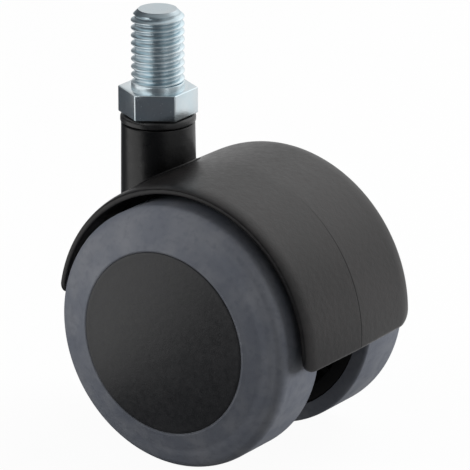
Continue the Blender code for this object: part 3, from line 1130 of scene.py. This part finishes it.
@dataclass
class SwivelBush:
    """The flanged bush between the stem and the tower."""

    bore: float = 0.00406
    radius: float = 0.00506
    flange_radius: float = 0.0071
    flange_top: float = -0.0052
    flange_base: float = -0.0065
    end: float = -0.0307
    flange_round: float = 0.0006
    edge_round: float = 0.0002
    steps: int = 96

    def build(self) -> None:
        """Builds and dresses the bush."""
        corners = [
            (self.bore, self.flange_top, 0.0),
            (self.flange_radius, self.flange_top, self.flange_round),
            (self.flange_radius, self.flange_base, self.edge_round),
            (self.radius, self.flange_base, 0.0),
            (self.radius, self.end, self.edge_round),
            (self.bore, self.end, self.edge_round),
        ]
        bush = turned("bush_flanged", rounded(corners), self.steps, UPRIGHT)
        dress(bush, BUSH_ACETAL, Body.HOUSING, "swivel_bush")


@dataclass
class Housing:
    """The hood, the tower with its post and the spine with the axle's boss, in one moulding."""

    radius: float = 0.0285
    inner: float = 0.0267
    crown: float = 0.0003
    half_width: float = 0.0173
    side_reach: float = 0.0030
    end_reach: float = 0.0009
    edge_drop: float = 0.0007
    edge_steps: int = 10
    inner_round: float = 0.00030
    inner_share: float = 0.3
    corner_round: float = 0.0030
    corner_steps: int = 4
    along_steps: int = 108
    across_steps: int = 36
    rear_angle: float = -5.0
    front_angle: float = 175.5
    tower_top_radius: float = 0.00694
    tower_radius: float = 0.00706
    tower_top: float = -0.0067
    tower_edge: float = 0.0003
    tower_edge_steps: int = 3
    tower_steps: int = 120
    fillet: float = 0.0004
    fillet_sink: float = 0.00003
    fillet_steps: int = 6
    root_depth: float = 0.0005
    root_end: float = 0.0009
    root_step: float = 0.0002
    post_base: float = -0.0317
    post_bore: float = 0.0052
    post_edge: float = 0.0002
    plug_radius: float = 0.0060
    plug_top: float = -0.0125
    spine_half: float = 0.0064
    spine_wall: float = 0.0018
    spine_rise: float = 0.0010
    spine_lap: float = 0.0004
    spine_front: float = 0.0073
    spine_steps: int = 72
    hollow_front: float = 0.0070
    hollow_steps: int = 48
    boss_radius: float = 0.00594
    boss_face: float = 0.0070
    boss_edge: float = 0.0003
    boss_cover: float = 0.0005
    boss_steps: int = 72
    axle_bore: float = 0.00314
    bore_reach: float = 0.001
    bore_steps: int = 48

    def crown_radius(self, y: float) -> float:
        """Radius of the hood's outer skin at a distance from the middle plane."""
        return self.radius - self.crown * abs(y) / self.half_width

    def point(self, along: float, y: float, radius: float) -> Vector:
        """A point of the hood.

        Args:
            along: How far round it is, as a length on the outer skin.
            y: How far along the axle it is.
            radius: How far from the axle it is.

        Returns:
            The point in the model's frame.
        """
        angle = along / self.radius
        return AXLE + Vector((radius * math.cos(angle), y, radius * math.sin(angle)))

    def side(self, inset: Point, quarters: int, straight: int) -> list[Point]:
        """One side of the hood's outline laid flat, from the middle of one corner to the next.

        Args:
            inset: How far inside the outline it runs, along the hood and across it.
            quarters: Which side, counted round from the near one.
            straight: How many steps its straight part has.

        Returns:
            The (along, y) points.
        """
        start, end = (math.radians(a) * self.radius for a in (self.rear_angle, self.front_angle))
        middle, half_along = (start + end) / 2, (end - start) / 2
        corner = (half_along - self.corner_round, self.half_width - self.corner_round)
        reach = (self.corner_round - inset[0], self.corner_round - inset[1])
        signs = [(-1, -1), (1, -1), (1, 1), (-1, 1)]
        points: list[Point] = []
        for k, turn in ((quarters, 0.0), ((quarters + 1) % len(signs), 45.0)):
            centre = (middle + signs[k][0] * corner[0], signs[k][1] * corner[1])
            first = 225.0 + 90.0 * quarters + turn
            for x, y in arc((0.0, 0.0), 1.0, first, first + 45.0, self.corner_steps):
                points.append((centre[0] + reach[0] * x, centre[1] + reach[1] * y))
        count = self.corner_steps + 1
        (x0, y0), (x1, y1) = points[count - 1], points[count]
        shares = [k / straight for k in range(1, straight)]
        between = [(x0 + (x1 - x0) * share, y0 + (y1 - y0) * share) for share in shares]
        return points[:count] + between + points[count:]

    def border(self, inset: Point) -> list[list[Point]]:
        """The four sides of the outline, counted round."""
        counts = (self.along_steps, self.across_steps, self.along_steps, self.across_steps)
        return [self.side(inset, k, n) for k, n in enumerate(counts)]

    def sheet(self, inset: Point) -> list[list[Point]]:
        """A grid of flat points inside the outline.

        Args:
            inset: How far inside the outline its border runs, along the hood and across it.

        Returns:
            Its rows along the hood, each from one side to the other.
        """
        near, front, far, rear = self.border(inset)
        far, rear = far[::-1], rear[::-1]
        rows = []
        for i in range(len(near)):
            a = (near[i][0] - near[0][0]) / (near[-1][0] - near[0][0])
            row = []
            for j in range(len(rear)):
                b = (rear[j][1] - rear[0][1]) / (rear[-1][1] - rear[0][1])
                row.append(
                    tuple(
                        (1 - b) * near[i][c]
                        + b * far[i][c]
                        + (1 - a) * rear[j][c]
                        + a * front[j][c]
                        - (1 - a) * (1 - b) * near[0][c]
                        - a * (1 - b) * near[-1][c]
                        - (1 - a) * b * far[0][c]
                        - a * b * far[-1][c]
                        for c in (0, 1)
                    )
                )
            rows.append(row)
        return rows

    def shell(self) -> bpy.types.Object:
        """The hood: a crowned sheet with rounded edges and corners.

        Returns:
            The hood as a solid.
        """
        shape = bmesh.new()

        def skin(inset: Point, level: Callable[[float], float]) -> list[bmesh.types.BMVert]:
            """One skin of the hood.

            Args:
                inset: How far inside the outline its border runs, along the hood and across it.
                level: Its radius at each distance along the axle.

            Returns:
                The vertices of its border, counted round.
            """
            grid = [
                [shape.verts.new(self.point(s, y, level(y))) for s, y in row] for row in self.sheet(inset)
            ]
            lattice(shape, grid)
            near, far = [row[0] for row in grid], [row[-1] for row in grid]
            return near[:-1] + grid[-1][:-1] + far[:0:-1] + grid[0][:0:-1]

        def ring(inset: Point, level: Callable[[float], float]) -> list[bmesh.types.BMVert]:
            """A loop of vertices between the two skins, counted round."""
            flat = [p for side in self.border(inset) for p in side[:-1]]
            return [shape.verts.new(self.point(s, y, level(y))) for s, y in flat]

        inner, part = self.inner_round, self.inner_round * self.inner_share
        loops = [skin((self.end_reach, self.side_reach), self.crown_radius)]
        for out, down in quarter(self.edge_steps)[1:]:
            inset = (self.end_reach * (1 - out), self.side_reach * (1 - out))
            drop = self.edge_drop * down
            loops.append(ring(inset, lambda y, drop=drop: self.crown_radius(y) - drop))
        loops.append(ring((0.0, 0.0), lambda y: self.inner + inner))
        loops.append(ring((part, part), lambda y: self.inner + part))
        loops.append(skin((inner, inner), lambda y: self.inner))
        lattice(shape, loops, ends_meet=True)
        return to_piece("hood_moulding", shape)

    def skin_height(self, radius: float, angle: float) -> float:
        """Height of the hood's outer skin beside the tower.

        Args:
            radius: How far out from the swivel axis.
            angle: The direction there.

        Returns:
            The height in the model's frame.
        """
        x, y = radius * math.cos(angle) - AXLE.x, radius * math.sin(angle)
        return AXLE.z + math.sqrt(self.crown_radius(y) ** 2 - x**2)

    def tower_outline(self, angle: float) -> list[Point]:
        """The tower's section at one angle, with the fillet that meets the hood there.

        Args:
            angle: The direction from the swivel axis.

        Returns:
            The (radius, height) points, closed through the bore.
        """
        wall, thin = self.tower_radius, self.tower_radius - self.root_step
        foot = self.skin_height(wall + self.fillet, angle) - self.fillet_sink
        neck = self.skin_height(wall, angle) + self.fillet
        centre = (self.tower_top_radius - self.tower_edge, self.tower_top - self.tower_edge)
        rounds = quarter(self.fillet_steps)
        return [
            *arc(centre, self.tower_edge, 90.0, 0.0, self.tower_edge_steps),
            *[(wall + self.fillet * out, neck + (foot - neck) * down) for down, out in rounds],
            (wall + self.fillet, foot - self.root_depth),
            (thin, foot - self.root_end),
            (thin, self.post_base + self.post_edge),
            (thin - self.post_edge, self.post_base),
            (self.post_bore, self.post_base),
            (self.post_bore, self.tower_top),
        ]

    def spine(self) -> bpy.types.Object:
        """The web under the hood, from the post to just above its rear edge, hollowed from below.

        Returns:
            The web as a solid.
        """
        crown = (self.inner + self.radius) / 2
        rear = self.radius * math.sin(math.radians(self.rear_angle)) + self.spine_rise
        first = math.degrees(math.asin(rear / crown))
        last = math.degrees(math.acos(-AXLE.x / crown))
        post = self.post_base - AXLE.z + self.spine_lap
        cover = self.boss_radius + self.boss_cover
        outline = [
            *arc((0.0, 0.0), crown, first, last, self.spine_steps),
            (-AXLE.x, post),
            (-AXLE.x + self.spine_front, post),
            (-cover, 0.0),
            (0.0, -cover),
        ]
        place = Side.LEFT.place
        spine = prism("housing_spine", outline, -self.spine_half, self.spine_half, place)
        roof = self.inner - self.spine_wall / 2
        front = -AXLE.x + self.hollow_front + self.spine_wall
        last = math.degrees(math.acos(front / roof))
        hollow = [
            (roof, -self.radius),
            *arc((0.0, 0.0), roof, 0.0, last, self.hollow_steps),
            (front, -self.radius),
        ]
        start, end = self.spine_wall / 2, self.spine_half - self.spine_wall
        for low, high in ((start, end), (-end, -start)):
            combine(spine, prism("spine_hollow", hollow, low, high, place), Joining.CUT)
        return spine

    def build(self) -> None:
        """Builds the housing as one moulding and dresses it."""
        axle, face = Side.LEFT.place, self.boss_face
        hood = self.shell()
        combine(hood, self.spine(), Joining.UNION)
        boss = [
            (0.0, -face, 0.0),
            (self.boss_radius, -face, self.boss_edge),
            (self.boss_radius, face, self.boss_edge),
            (0.0, face, 0.0),
        ]
        boss_piece = turned("axle_boss", rounded(boss), self.boss_steps, axle, closed=False)
        combine(hood, boss_piece, Joining.UNION)
        base, top = self.post_base + self.post_edge, self.plug_top
        plug = [(0.0, base), (self.plug_radius, base), (self.plug_radius, top), (0.0, top)]
        combine(hood, turned("post_plug", plug, self.bore_steps, UPRIGHT, closed=False), Joining.CUT)
        tower = turned_by("stem_tower", self.tower_outline, self.tower_steps, UPRIGHT)
        combine(hood, tower, Joining.UNION)
        reach = face + self.bore_reach
        bore = [(0.0, -reach), (self.axle_bore, -reach), (self.axle_bore, reach), (0.0, reach)]
        combine(hood, turned("axle_bore", bore, self.bore_steps, axle, closed=False), Joining.CUT)
        dress(hood, HOOD_NYLON, Body.HOUSING, "hood_housing")
        dress_node("axle", AXLE_STEEL)


@dataclass
class Wheel:
    """One wheel: a soft tread on a ribbed core, with a domed cap over the hub."""

    side: Side
    radius: float = 0.0250
    start: float = 0.0085
    face: float = 0.0231
    seat: float = 0.0222
    shoulder: float = 0.0026
    shoulder_steps: int = 12
    face_angle: float = 20.0
    lip: float = 0.0175
    seam: float = 0.01734
    seam_depth: float = 0.00008
    bead: float = 0.01775
    bead_rise: float = 0.00005
    bead_reach: float = 0.00095
    bead_steps: int = 5
    bead_fall_steps: int = 8
    ridge: float = 0.000035
    ridge_start: float = 0.0203
    ridge_end: float = 0.0229
    ridge_steps: int = 16
    tread_edge: float = 0.0006
    tread_edge_steps: int = 5
    tread_steps: int = 160
    key_depth: float = 0.0009
    key_start: float = 0.0125
    key_end: float = 0.0151
    press_gap: float = 0.00014
    ledge: float = 0.0213
    cap_radius: float = 0.0173
    cap_rise: float = 0.0006
    cap_edge: float = 0.0009
    cap_edge_drop: float = 0.00010
    cap_edge_steps: int = 8
    cap_base: float = 0.0215
    cap_steps: int = 128
    dome_steps: int = 14
    skirt: float = 0.0158
    skirt_wall: float = 0.0014
    skirt_gap: float = 0.0002
    hub_face: float = 0.0186
    hub_bore: float = 0.0042
    hub_radius: float = 0.0058
    rim: float = 0.02206
    rim_inner: float = 0.01956
    disc_inner: float = 0.0166
    rib_base: float = 0.0110
    rib_wall: float = 0.0014
    rib_lap: float = 0.0004
    rib_count: int = 8
    fine_edge: float = 0.0002
    core_edge: float = 0.0003
    core_root: float = 0.0005
    core_edge_steps: int = 3
    core_steps: int = 96

    def cone(self, radius: float, height: float) -> float:
        """Height of a cone that falls away at the face angle outside the lip."""
        return height - (radius - self.lip) * math.tan(math.radians(self.face_angle))

    def lip_bead(self) -> list[Point]:
        """The rounded bead where the tread meets the cap.

        Returns:
            Its (radius, height) points.
        """
        top = self.cone(self.bead, self.face) + self.bead_rise
        base = self.face - self.seam_depth
        points = []
        for up, out in quarter(self.bead_steps):
            points.append((self.seam + (self.bead - self.seam) * out, base + (top - base) * up))
        for k in range(1, self.bead_fall_steps + 1):
            share = k / self.bead_fall_steps
            radius = self.bead + self.bead_reach * share
            points.append((radius, self.cone(radius, self.face) + self.bead_rise * (1 - share) ** 2))
        return points

    def face_ridge(self) -> list[Point]:
        """The shallow groove and ridge that run round the tread's face.

        Returns:
            Their (radius, height) points.
        """
        points = []
        for k in range(self.ridge_steps + 1):
            share = k / self.ridge_steps
            radius = self.ridge_start + (self.ridge_end - self.ridge_start) * share
            rise = -self.ridge * math.sin(math.tau * share)
            points.append((radius, self.cone(radius, self.face) + rise))
        return points

    def tread(self) -> bpy.types.Object:
        """The soft tread, keyed into the core's groove.

        Returns:
            The tread.
        """
        turn = 90.0 - self.face_angle
        middle = self.radius - self.shoulder
        out, up = (self.shoulder * f(math.radians(turn)) for f in (math.cos, math.sin))
        shoulder = (middle, self.cone(middle + out, self.face) - up)
        edge = (self.radius - self.tread_edge, self.start + self.tread_edge)
        under = self.ledge + self.press_gap
        key = self.seat - self.key_depth
        outline = [
            *self.lip_bead(),
            *self.face_ridge(),
            *arc(shoulder, self.shoulder, turn, 0.0, self.shoulder_steps),
            *arc(edge, self.tread_edge, 0.0, -90.0, self.tread_edge_steps),
            (self.seat, self.start),
            (self.seat, self.key_start),
            (key, self.key_start),
            (key, self.key_end),
            (self.seat, self.key_end),
            (self.seat, self.cone(self.seat, under)),
            (self.seam, under),
        ]
        return turned(self.side.value + "_tread", outline, self.tread_steps, self.side.place)

    def core(self) -> bpy.types.Object:
        """The ribbed body that carries the tread.

        Returns:
            The core.
        """
        half = self.rib_wall / 2
        middle = (self.hub_radius + self.rim_inner) / 2
        groove = self.rim - self.key_depth
        recess = self.skirt + self.skirt_gap
        key_end, key_start = self.key_end + self.press_gap, self.key_start - self.press_gap
        fine, edge, root = self.fine_edge, self.core_edge, self.core_root
        corners = [
            (self.hub_bore, self.hub_face, fine),
            (recess, self.hub_face, 0.0),
            (recess, self.ledge, fine),
            (self.lip, self.ledge, 0.0),
            (self.rim, self.cone(self.rim, self.ledge), 0.0),
            (self.rim, key_end, 0.0),
            (groove, key_end, 0.0),
            (groove, key_start, 0.0),
            (self.rim, key_start, 0.0),
            (self.rim, self.start, edge),
            (self.rim_inner, self.start, edge),
            (self.rim_inner, self.disc_inner, root),
            (middle + half, self.disc_inner, root),
            (middle + half, self.rib_base, edge),
            (middle - half, self.rib_base, edge),
            (middle - half, self.disc_inner, root),
            (self.hub_radius, self.disc_inner, root),
            (self.hub_radius, self.start, edge),
            (self.hub_bore, self.start, fine),
        ]
        place, lap = self.side.place, self.rib_lap
        outline = rounded(corners, self.core_edge_steps)
        core = turned(self.side.value + "_core", outline, self.core_steps, place)
        first, last = self.hub_radius - lap, self.rim_inner + lap
        rib = [(first, -half), (last, -half), (last, half), (first, half)]
        low, high = self.rib_base + lap, self.disc_inner + lap
        for k in range(self.rib_count):
            turn = Matrix.Rotation(math.tau * k / self.rib_count, 4, "Z")
            combine(core, prism("core_rib", rib, low, high, place @ turn), Joining.UNION)
        return core

    def cap(self) -> bpy.types.Object:
        """The domed cap whose skirt presses into the core.

        Returns:
            The cap.
        """
        sphere = (self.cap_radius**2 + self.cap_rise**2) / (2 * self.cap_rise)
        centre = self.face + self.cap_rise - sphere
        reach = self.cap_radius - self.cap_edge
        outs = [reach * k / self.dome_steps for k in range(self.dome_steps + 1)]
        dome = [(out, centre + math.sqrt(sphere**2 - out**2)) for out in outs]
        rim = dome[-1][1]
        rounds = quarter(self.cap_edge_steps)[1:]
        base, inside = self.hub_face + self.skirt_gap, self.skirt - self.skirt_wall
        outline = [
            *dome,
            *[(reach + self.cap_edge * out, rim - self.cap_edge_drop * down) for out, down in rounds],
            (self.cap_radius, self.cap_base),
            (self.skirt, self.cap_base),
            (self.skirt, base),
            (inside, base),
            (inside, self.cap_base),
            (0.0, self.cap_base),
        ]
        return turned(self.side.value + "_cap", outline, self.cap_steps, self.side.place, closed=False)

    def build(self) -> None:
        """Builds the wheel's pieces and dresses them."""
        name, body = self.side.value, self.side.body
        dress(self.tread(), TREAD_GREY, body, name + "_tyre")
        dress(self.core(), SHADED_CORE_NYLON, body, name + "_wheel_core")
        dress(self.cap(), CAP_NYLON, body, name + "_hub_cap")
        dress_node(name + "_hub_bush", BUSH_ACETAL)
        dress_node(name + "_inner_washer", AXLE_STEEL)
        dress_node(name + "_outer_washer", AXLE_STEEL)
        dress_node(name + "_axle_clip", CLIP_STEEL)


@dataclass(frozen=True)
class Lamp:
    """A soft lamp that faces the caster, and that gloss doesn't show.

    Attributes:
        name: Its name.
        side: The direction it stands in, from the axle.
        away: How far it stands.
        size: The side of its square.
        level: The tone of a white matt face square to it.
    """

    name: str
    side: Triple
    away: float
    size: float
    level: float

    def build(self) -> None:
        """Puts the lamp in the scene."""
        data = bpy.data.lights.new(self.name, "AREA")
        data.size = self.size
        data.energy = self.level * (math.pi * self.away) ** 2
        lamp = bpy.data.objects.new(self.name, data)
        bpy.context.scene.collection.objects.link(lamp)
        side = Vector(self.side).normalized()
        lamp.location = AXLE + side * self.away
        lamp.rotation_euler = side.to_track_quat("Z", "Y").to_euler()
        lamp.visible_glossy = False


@dataclass(frozen=True)
class Card:
    """A white card or black flag with soft edges, one of those that the gloss shows.

    Attributes:
        name: Its name.
        start: The bearing where it starts, in degrees from +X.
        end: The bearing where it ends.
        low: The elevation of its lower edge, in degrees.
        high: The elevation of its upper edge.
        soft: Half the width of its soft edges, in degrees.
        tone: Its tone, where 1 is white.
    """

    name: str
    start: float
    end: float
    low: float
    high: float
    soft: float
    tone: float

    def share(self, bearing: float, elevation: float) -> float:
        """How much of a direction the card fills.

        Args:
            bearing: The direction, in degrees from +X.
            elevation: How far above the floor it is, in degrees.

        Returns:
            From 0, none of it, to 1, all of it.
        """
        middle, half = (self.start + self.end) / 2, (self.end - self.start) / 2
        aside = abs((bearing - middle + 180.0) % 360.0 - 180.0)
        share = 1.0
        for inside in (half - aside, self.high - elevation, elevation - self.low):
            step = min(max((inside + self.soft) / (2 * self.soft), 0.0), 1.0)
            share *= step * step * (3.0 - 2.0 * step)
        return share


@dataclass(frozen=True)
class Strip:
    """A small white card bent round the stem, which the gloss of the thread alone shows.

    Attributes:
        name: Its name.
        start: The bearing where it starts, in degrees from +X.
        end: The bearing where it ends.
        low: The height of its lower edge.
        high: The height of its upper edge.
        tone: Its tone, where 1 is white.
    """

    name: str
    start: float
    end: float
    low: float
    high: float
    tone: float

    def rows(self, radius: float, steps: int) -> list[list[Vector]]:
        """The points of the strip's lower and upper edges.

        Args:
            radius: Its distance from the stem's axis.
            steps: How many flats it is bent into.

        Returns:
            One row of points for each edge.
        """
        bend = arc((0.0, 0.0), radius, self.start, self.end, steps)
        return [[Vector((x, y, height)) for x, y in bend] for height in (self.low, self.high)]


@dataclass
class Studio:
    """The floor, the lights and the camera."""

    azimuth: float = 34.31
    elevation: float = 19.74
    distance: float = 0.917
    lens: float = 375.9
    sensor: float = 36.0
    clip: Point = (0.01, 20.0)
    aim_right: float = 0.00028
    aim_up: float = 0.0137
    floor_height: float = -0.0655
    floor_half: float = 4.0
    floor_seen: Colour = (0.95, 0.95, 0.95)
    floor_bounce: Colour = (0.25, 0.25, 0.25)
    floor_white: float = 0.95
    ambient: float = 0.20
    lamps: tuple[Lamp, ...] = (
        Lamp("key_lamp", (-0.70, -0.66, 0.27), 0.80, 0.70, 0.92),
        Lamp("back_lamp", (0.25, 0.50, 0.83), 0.80, 0.60, 0.42),
        Lamp("side_lamp", (0.72, 0.69, 0.06), 0.80, 0.40, 1.70),
        Lamp("front_lamp", (0.90, -0.42, 0.05), 0.80, 0.60, 0.12),
    )
    cards: tuple[Card, ...] = (
        Card("front_flag", -212.0, -38.0, -90.0, 64.0, 16.0, 0.06),
        # Its low edge stops short of the floor round the caster, which leaves a painted shadow there that
        # only gloss shows.
        Card("left_card", -165.0, -107.0, -49.0, 20.0, 5.0, 1.12),
        # This flag darkens the floor beside the wheels: a painted shadow that only gloss shows.
        Card("floor_shadow_flag", -200.0, -136.0, -90.0, -38.0, 6.0, 0.06),
        Card("top_card", 40.0, 110.0, 70.0, 90.0, 7.0, 0.9),
        Card("right_card", 38.0, 100.0, -90.0, 62.0, 14.0, 1.0),
        Card("back_card", 60.0, 137.0, -90.0, 62.0, 6.0, 0.85),
        Card("softbox", 38.0, 105.0, 28.0, 60.0, 12.0, 1.38),
    )
    strips: tuple[Strip, ...] = (
        Strip("front_strip", -118.0, -80.0, 0.001, 0.013, 1.25),
        Strip("left_strip", -182.0, -118.0, 0.002, 0.013, 0.65),
        Strip("right_strip", -27.0, -18.0, -0.002, 0.013, 0.9),
    )
    strip_radius: float = 0.015
    strip_steps: int = 12
    surround_plain: float = 0.39
    surround_radius: float = 0.25
    surround_rings: int = 16
    surround_top: float = 88.0
    surround_lift: float = 0.0001
    surround_dark: Colour = (0.015, 0.020, 0.030)
    bearing_step: int = 3
    # Rings of the surround on the floor round the caster, darker near it as a painted shadow.
    shaded_floor_rings: tuple[float, ...] = (0.005, 0.035, 0.055, 0.075, 0.095, 0.115)
    floor_fall: float = 60.0

    def camera(self) -> None:
        """Puts the camera where the photograph was taken from."""
        a, e = math.radians(self.azimuth), math.radians(self.elevation)
        back = Vector((math.sin(a) * math.cos(e), -math.cos(a) * math.cos(e), math.sin(e)))
        right = Vector((math.cos(a), math.sin(a), 0.0))
        up = back.cross(right)
        data = bpy.data.cameras.new("camera")
        data.lens = self.lens
        data.sensor_width = self.sensor
        data.clip_start, data.clip_end = self.clip
        camera = bpy.data.objects.new("camera", data)
        bpy.context.scene.collection.objects.link(camera)
        camera.location = AXLE + back * self.distance
        aim = AXLE + right * self.aim_right + up * self.aim_up
        camera.rotation_euler = (camera.location - aim).to_track_quat("Z", "Y").to_euler()
        bpy.context.scene.camera = camera

    def seen(self, graph: Graph) -> Sock:
        """Picks out the rays that show the background itself.

        Args:
            graph: Where the nodes go.

        Returns:
            1 for a ray from the camera, off gloss or through glass, and 0 for the others.
        """
        kinds = ("Is Camera Ray", "Is Glossy Ray", "Is Transmission Ray")
        camera, gloss, glass = (graph.node("ShaderNodeLightPath", output=kind) for kind in kinds)
        return graph.node("ShaderNodeClamp", sockets={0: camera + gloss + glass})

    def world(self) -> None:
        """An even white surround."""
        world = bpy.data.worlds.new("studio")
        bpy.context.scene.world = world
        world.use_nodes = True
        graph = Graph(world.node_tree)
        strength = self.ambient + self.seen(graph) * (1.0 - self.ambient)
        light = graph.node("ShaderNodeBackground", sockets={"Color": WHITE, "Strength": strength})
        graph.node("ShaderNodeOutputWorld", sockets={"Surface": light})

    def floor(self) -> None:
        """A plain white floor that keeps the caster's shadow."""
        shape = bmesh.new()
        bmesh.ops.create_grid(shape, x_segments=2, y_segments=2, size=self.floor_half)
        bmesh.ops.translate(shape, vec=(0.0, 0.0, self.floor_height), verts=shape.verts)
        floor = to_piece("floor", shape)
        material, graph = new_graph("floor_white")
        seen = self.seen(graph)
        paint = graph.blend(seen, self.floor_bounce, self.floor_seen)
        matt = graph.node("ShaderNodeBsdfDiffuse", sockets={"Color": paint})
        white = graph.node("ShaderNodeEmission", sockets={"Color": WHITE, "Strength": 1.0})
        sockets = {0: seen * self.floor_white, 1: matt, 2: white}
        mixed = graph.node("ShaderNodeMixShader", sockets=sockets)
        graph.node("ShaderNodeOutputMaterial", sockets={"Surface": mixed})
        floor.data.materials.append(material)

    def tone(self, bearing: float, elevation: float) -> float:
        """The tone of the surround in one direction.

        Args:
            bearing: The direction, in degrees from +X.
            elevation: How far above the floor it is, in degrees, or below 0 for the floor itself.

        Returns:
            The tone, where 1 is white.
        """
        tone = self.surround_plain
        for card in self.cards:
            tone += (card.tone - tone) * card.share(bearing, elevation)
        return tone

    def screen(self) -> bpy.types.Object:
        """The surround's shape: a dome, rings on the floor and the strips, with a tone at each point.

        Returns:
            The shape, with its tones in the attribute tone.
        """
        shape = bmesh.new()
        tones = shape.verts.layers.float.new("tone")

        def toned(point: Vector, tone: float) -> bmesh.types.BMVert:
            """A vertex with its tone.

            Args:
                point: Where it is.
                tone: Its tone, where 1 is white.

            Returns:
                The vertex.
            """
            vert = shape.verts.new(point)
            vert[tones] = tone
            return vert

        size, base = self.surround_radius, self.floor_height + self.surround_lift
        # The floor rings take falling elevations, so the cards' low edges leave the floor round the caster
        # darker: a painted shadow of the caster that only gloss shows.
        rows = [(out, 0.0, self.floor_fall * (out / size - 1.0)) for out in self.shaded_floor_rings]
        for k in range(self.surround_rings):
            rise = self.surround_top * k / (self.surround_rings - 1)
            angle = math.radians(rise)
            rows.append((size * math.cos(angle), size * math.sin(angle), rise))
        rings = []
        for out, height, elevation in rows:
            ring = []
            for bearing in range(-180, 180, self.bearing_step):
                angle = math.radians(bearing)
                point = Vector((out * math.cos(angle), out * math.sin(angle), base + height))
                ring.append(toned(point, self.tone(bearing, elevation)))
            rings.append(ring)
        shape.faces.new(rings[0])
        shape.faces.new(rings[-1])
        lattice(shape, rings, ends_meet=True)
        for strip in self.strips:
            edges = strip.rows(self.strip_radius, self.strip_steps)
            lattice(shape, [[toned(point, strip.tone) for point in edge] for edge in edges])
        return to_piece("surround", shape)

    def surround(self) -> None:
        """A graded screen over and on the floor, which only gloss shows."""
        screen = self.screen()
        material, graph = new_graph("surround_grey")
        tone = graph.node("ShaderNodeAttribute", {"attribute_name": "tone"}, output="Fac")
        colour = graph.blend(tone, self.surround_dark, WHITE, clamp=False)
        grey = graph.node("ShaderNodeEmission", sockets={"Color": colour, "Strength": 1.0})
        graph.node("ShaderNodeOutputMaterial", sockets={"Surface": grey})
        screen.data.materials.append(material)
        screen.visible_camera = False
        screen.visible_diffuse = False
        screen.visible_transmission = False
        screen.visible_shadow = False
        names = ", ".join(card.name for card in (*self.cards, *self.strips))
        LOG.info("surround: gloss shows %s", names)

    def build(self) -> None:
        """Builds the studio."""
        bpy.context.scene.view_settings.view_transform = "Standard"
        self.camera()
        self.world()
        self.floor()
        self.surround()
        for lamp in self.lamps:
            lamp.build()
        LOG.info("studio: camera at azimuth %.2f, elevation %.2f", self.azimuth, self.elevation)


def main() -> None:
    """Builds every part of the caster and its studio."""
    logging.basicConfig(level=logging.INFO, format="%(name)s: %(message)s")
    Stem().build()
    SwivelBush().build()
    Housing().build()
    for side in Side:
        Wheel(side).build()
    Studio().build()


if __name__ == "__main__":
    main()
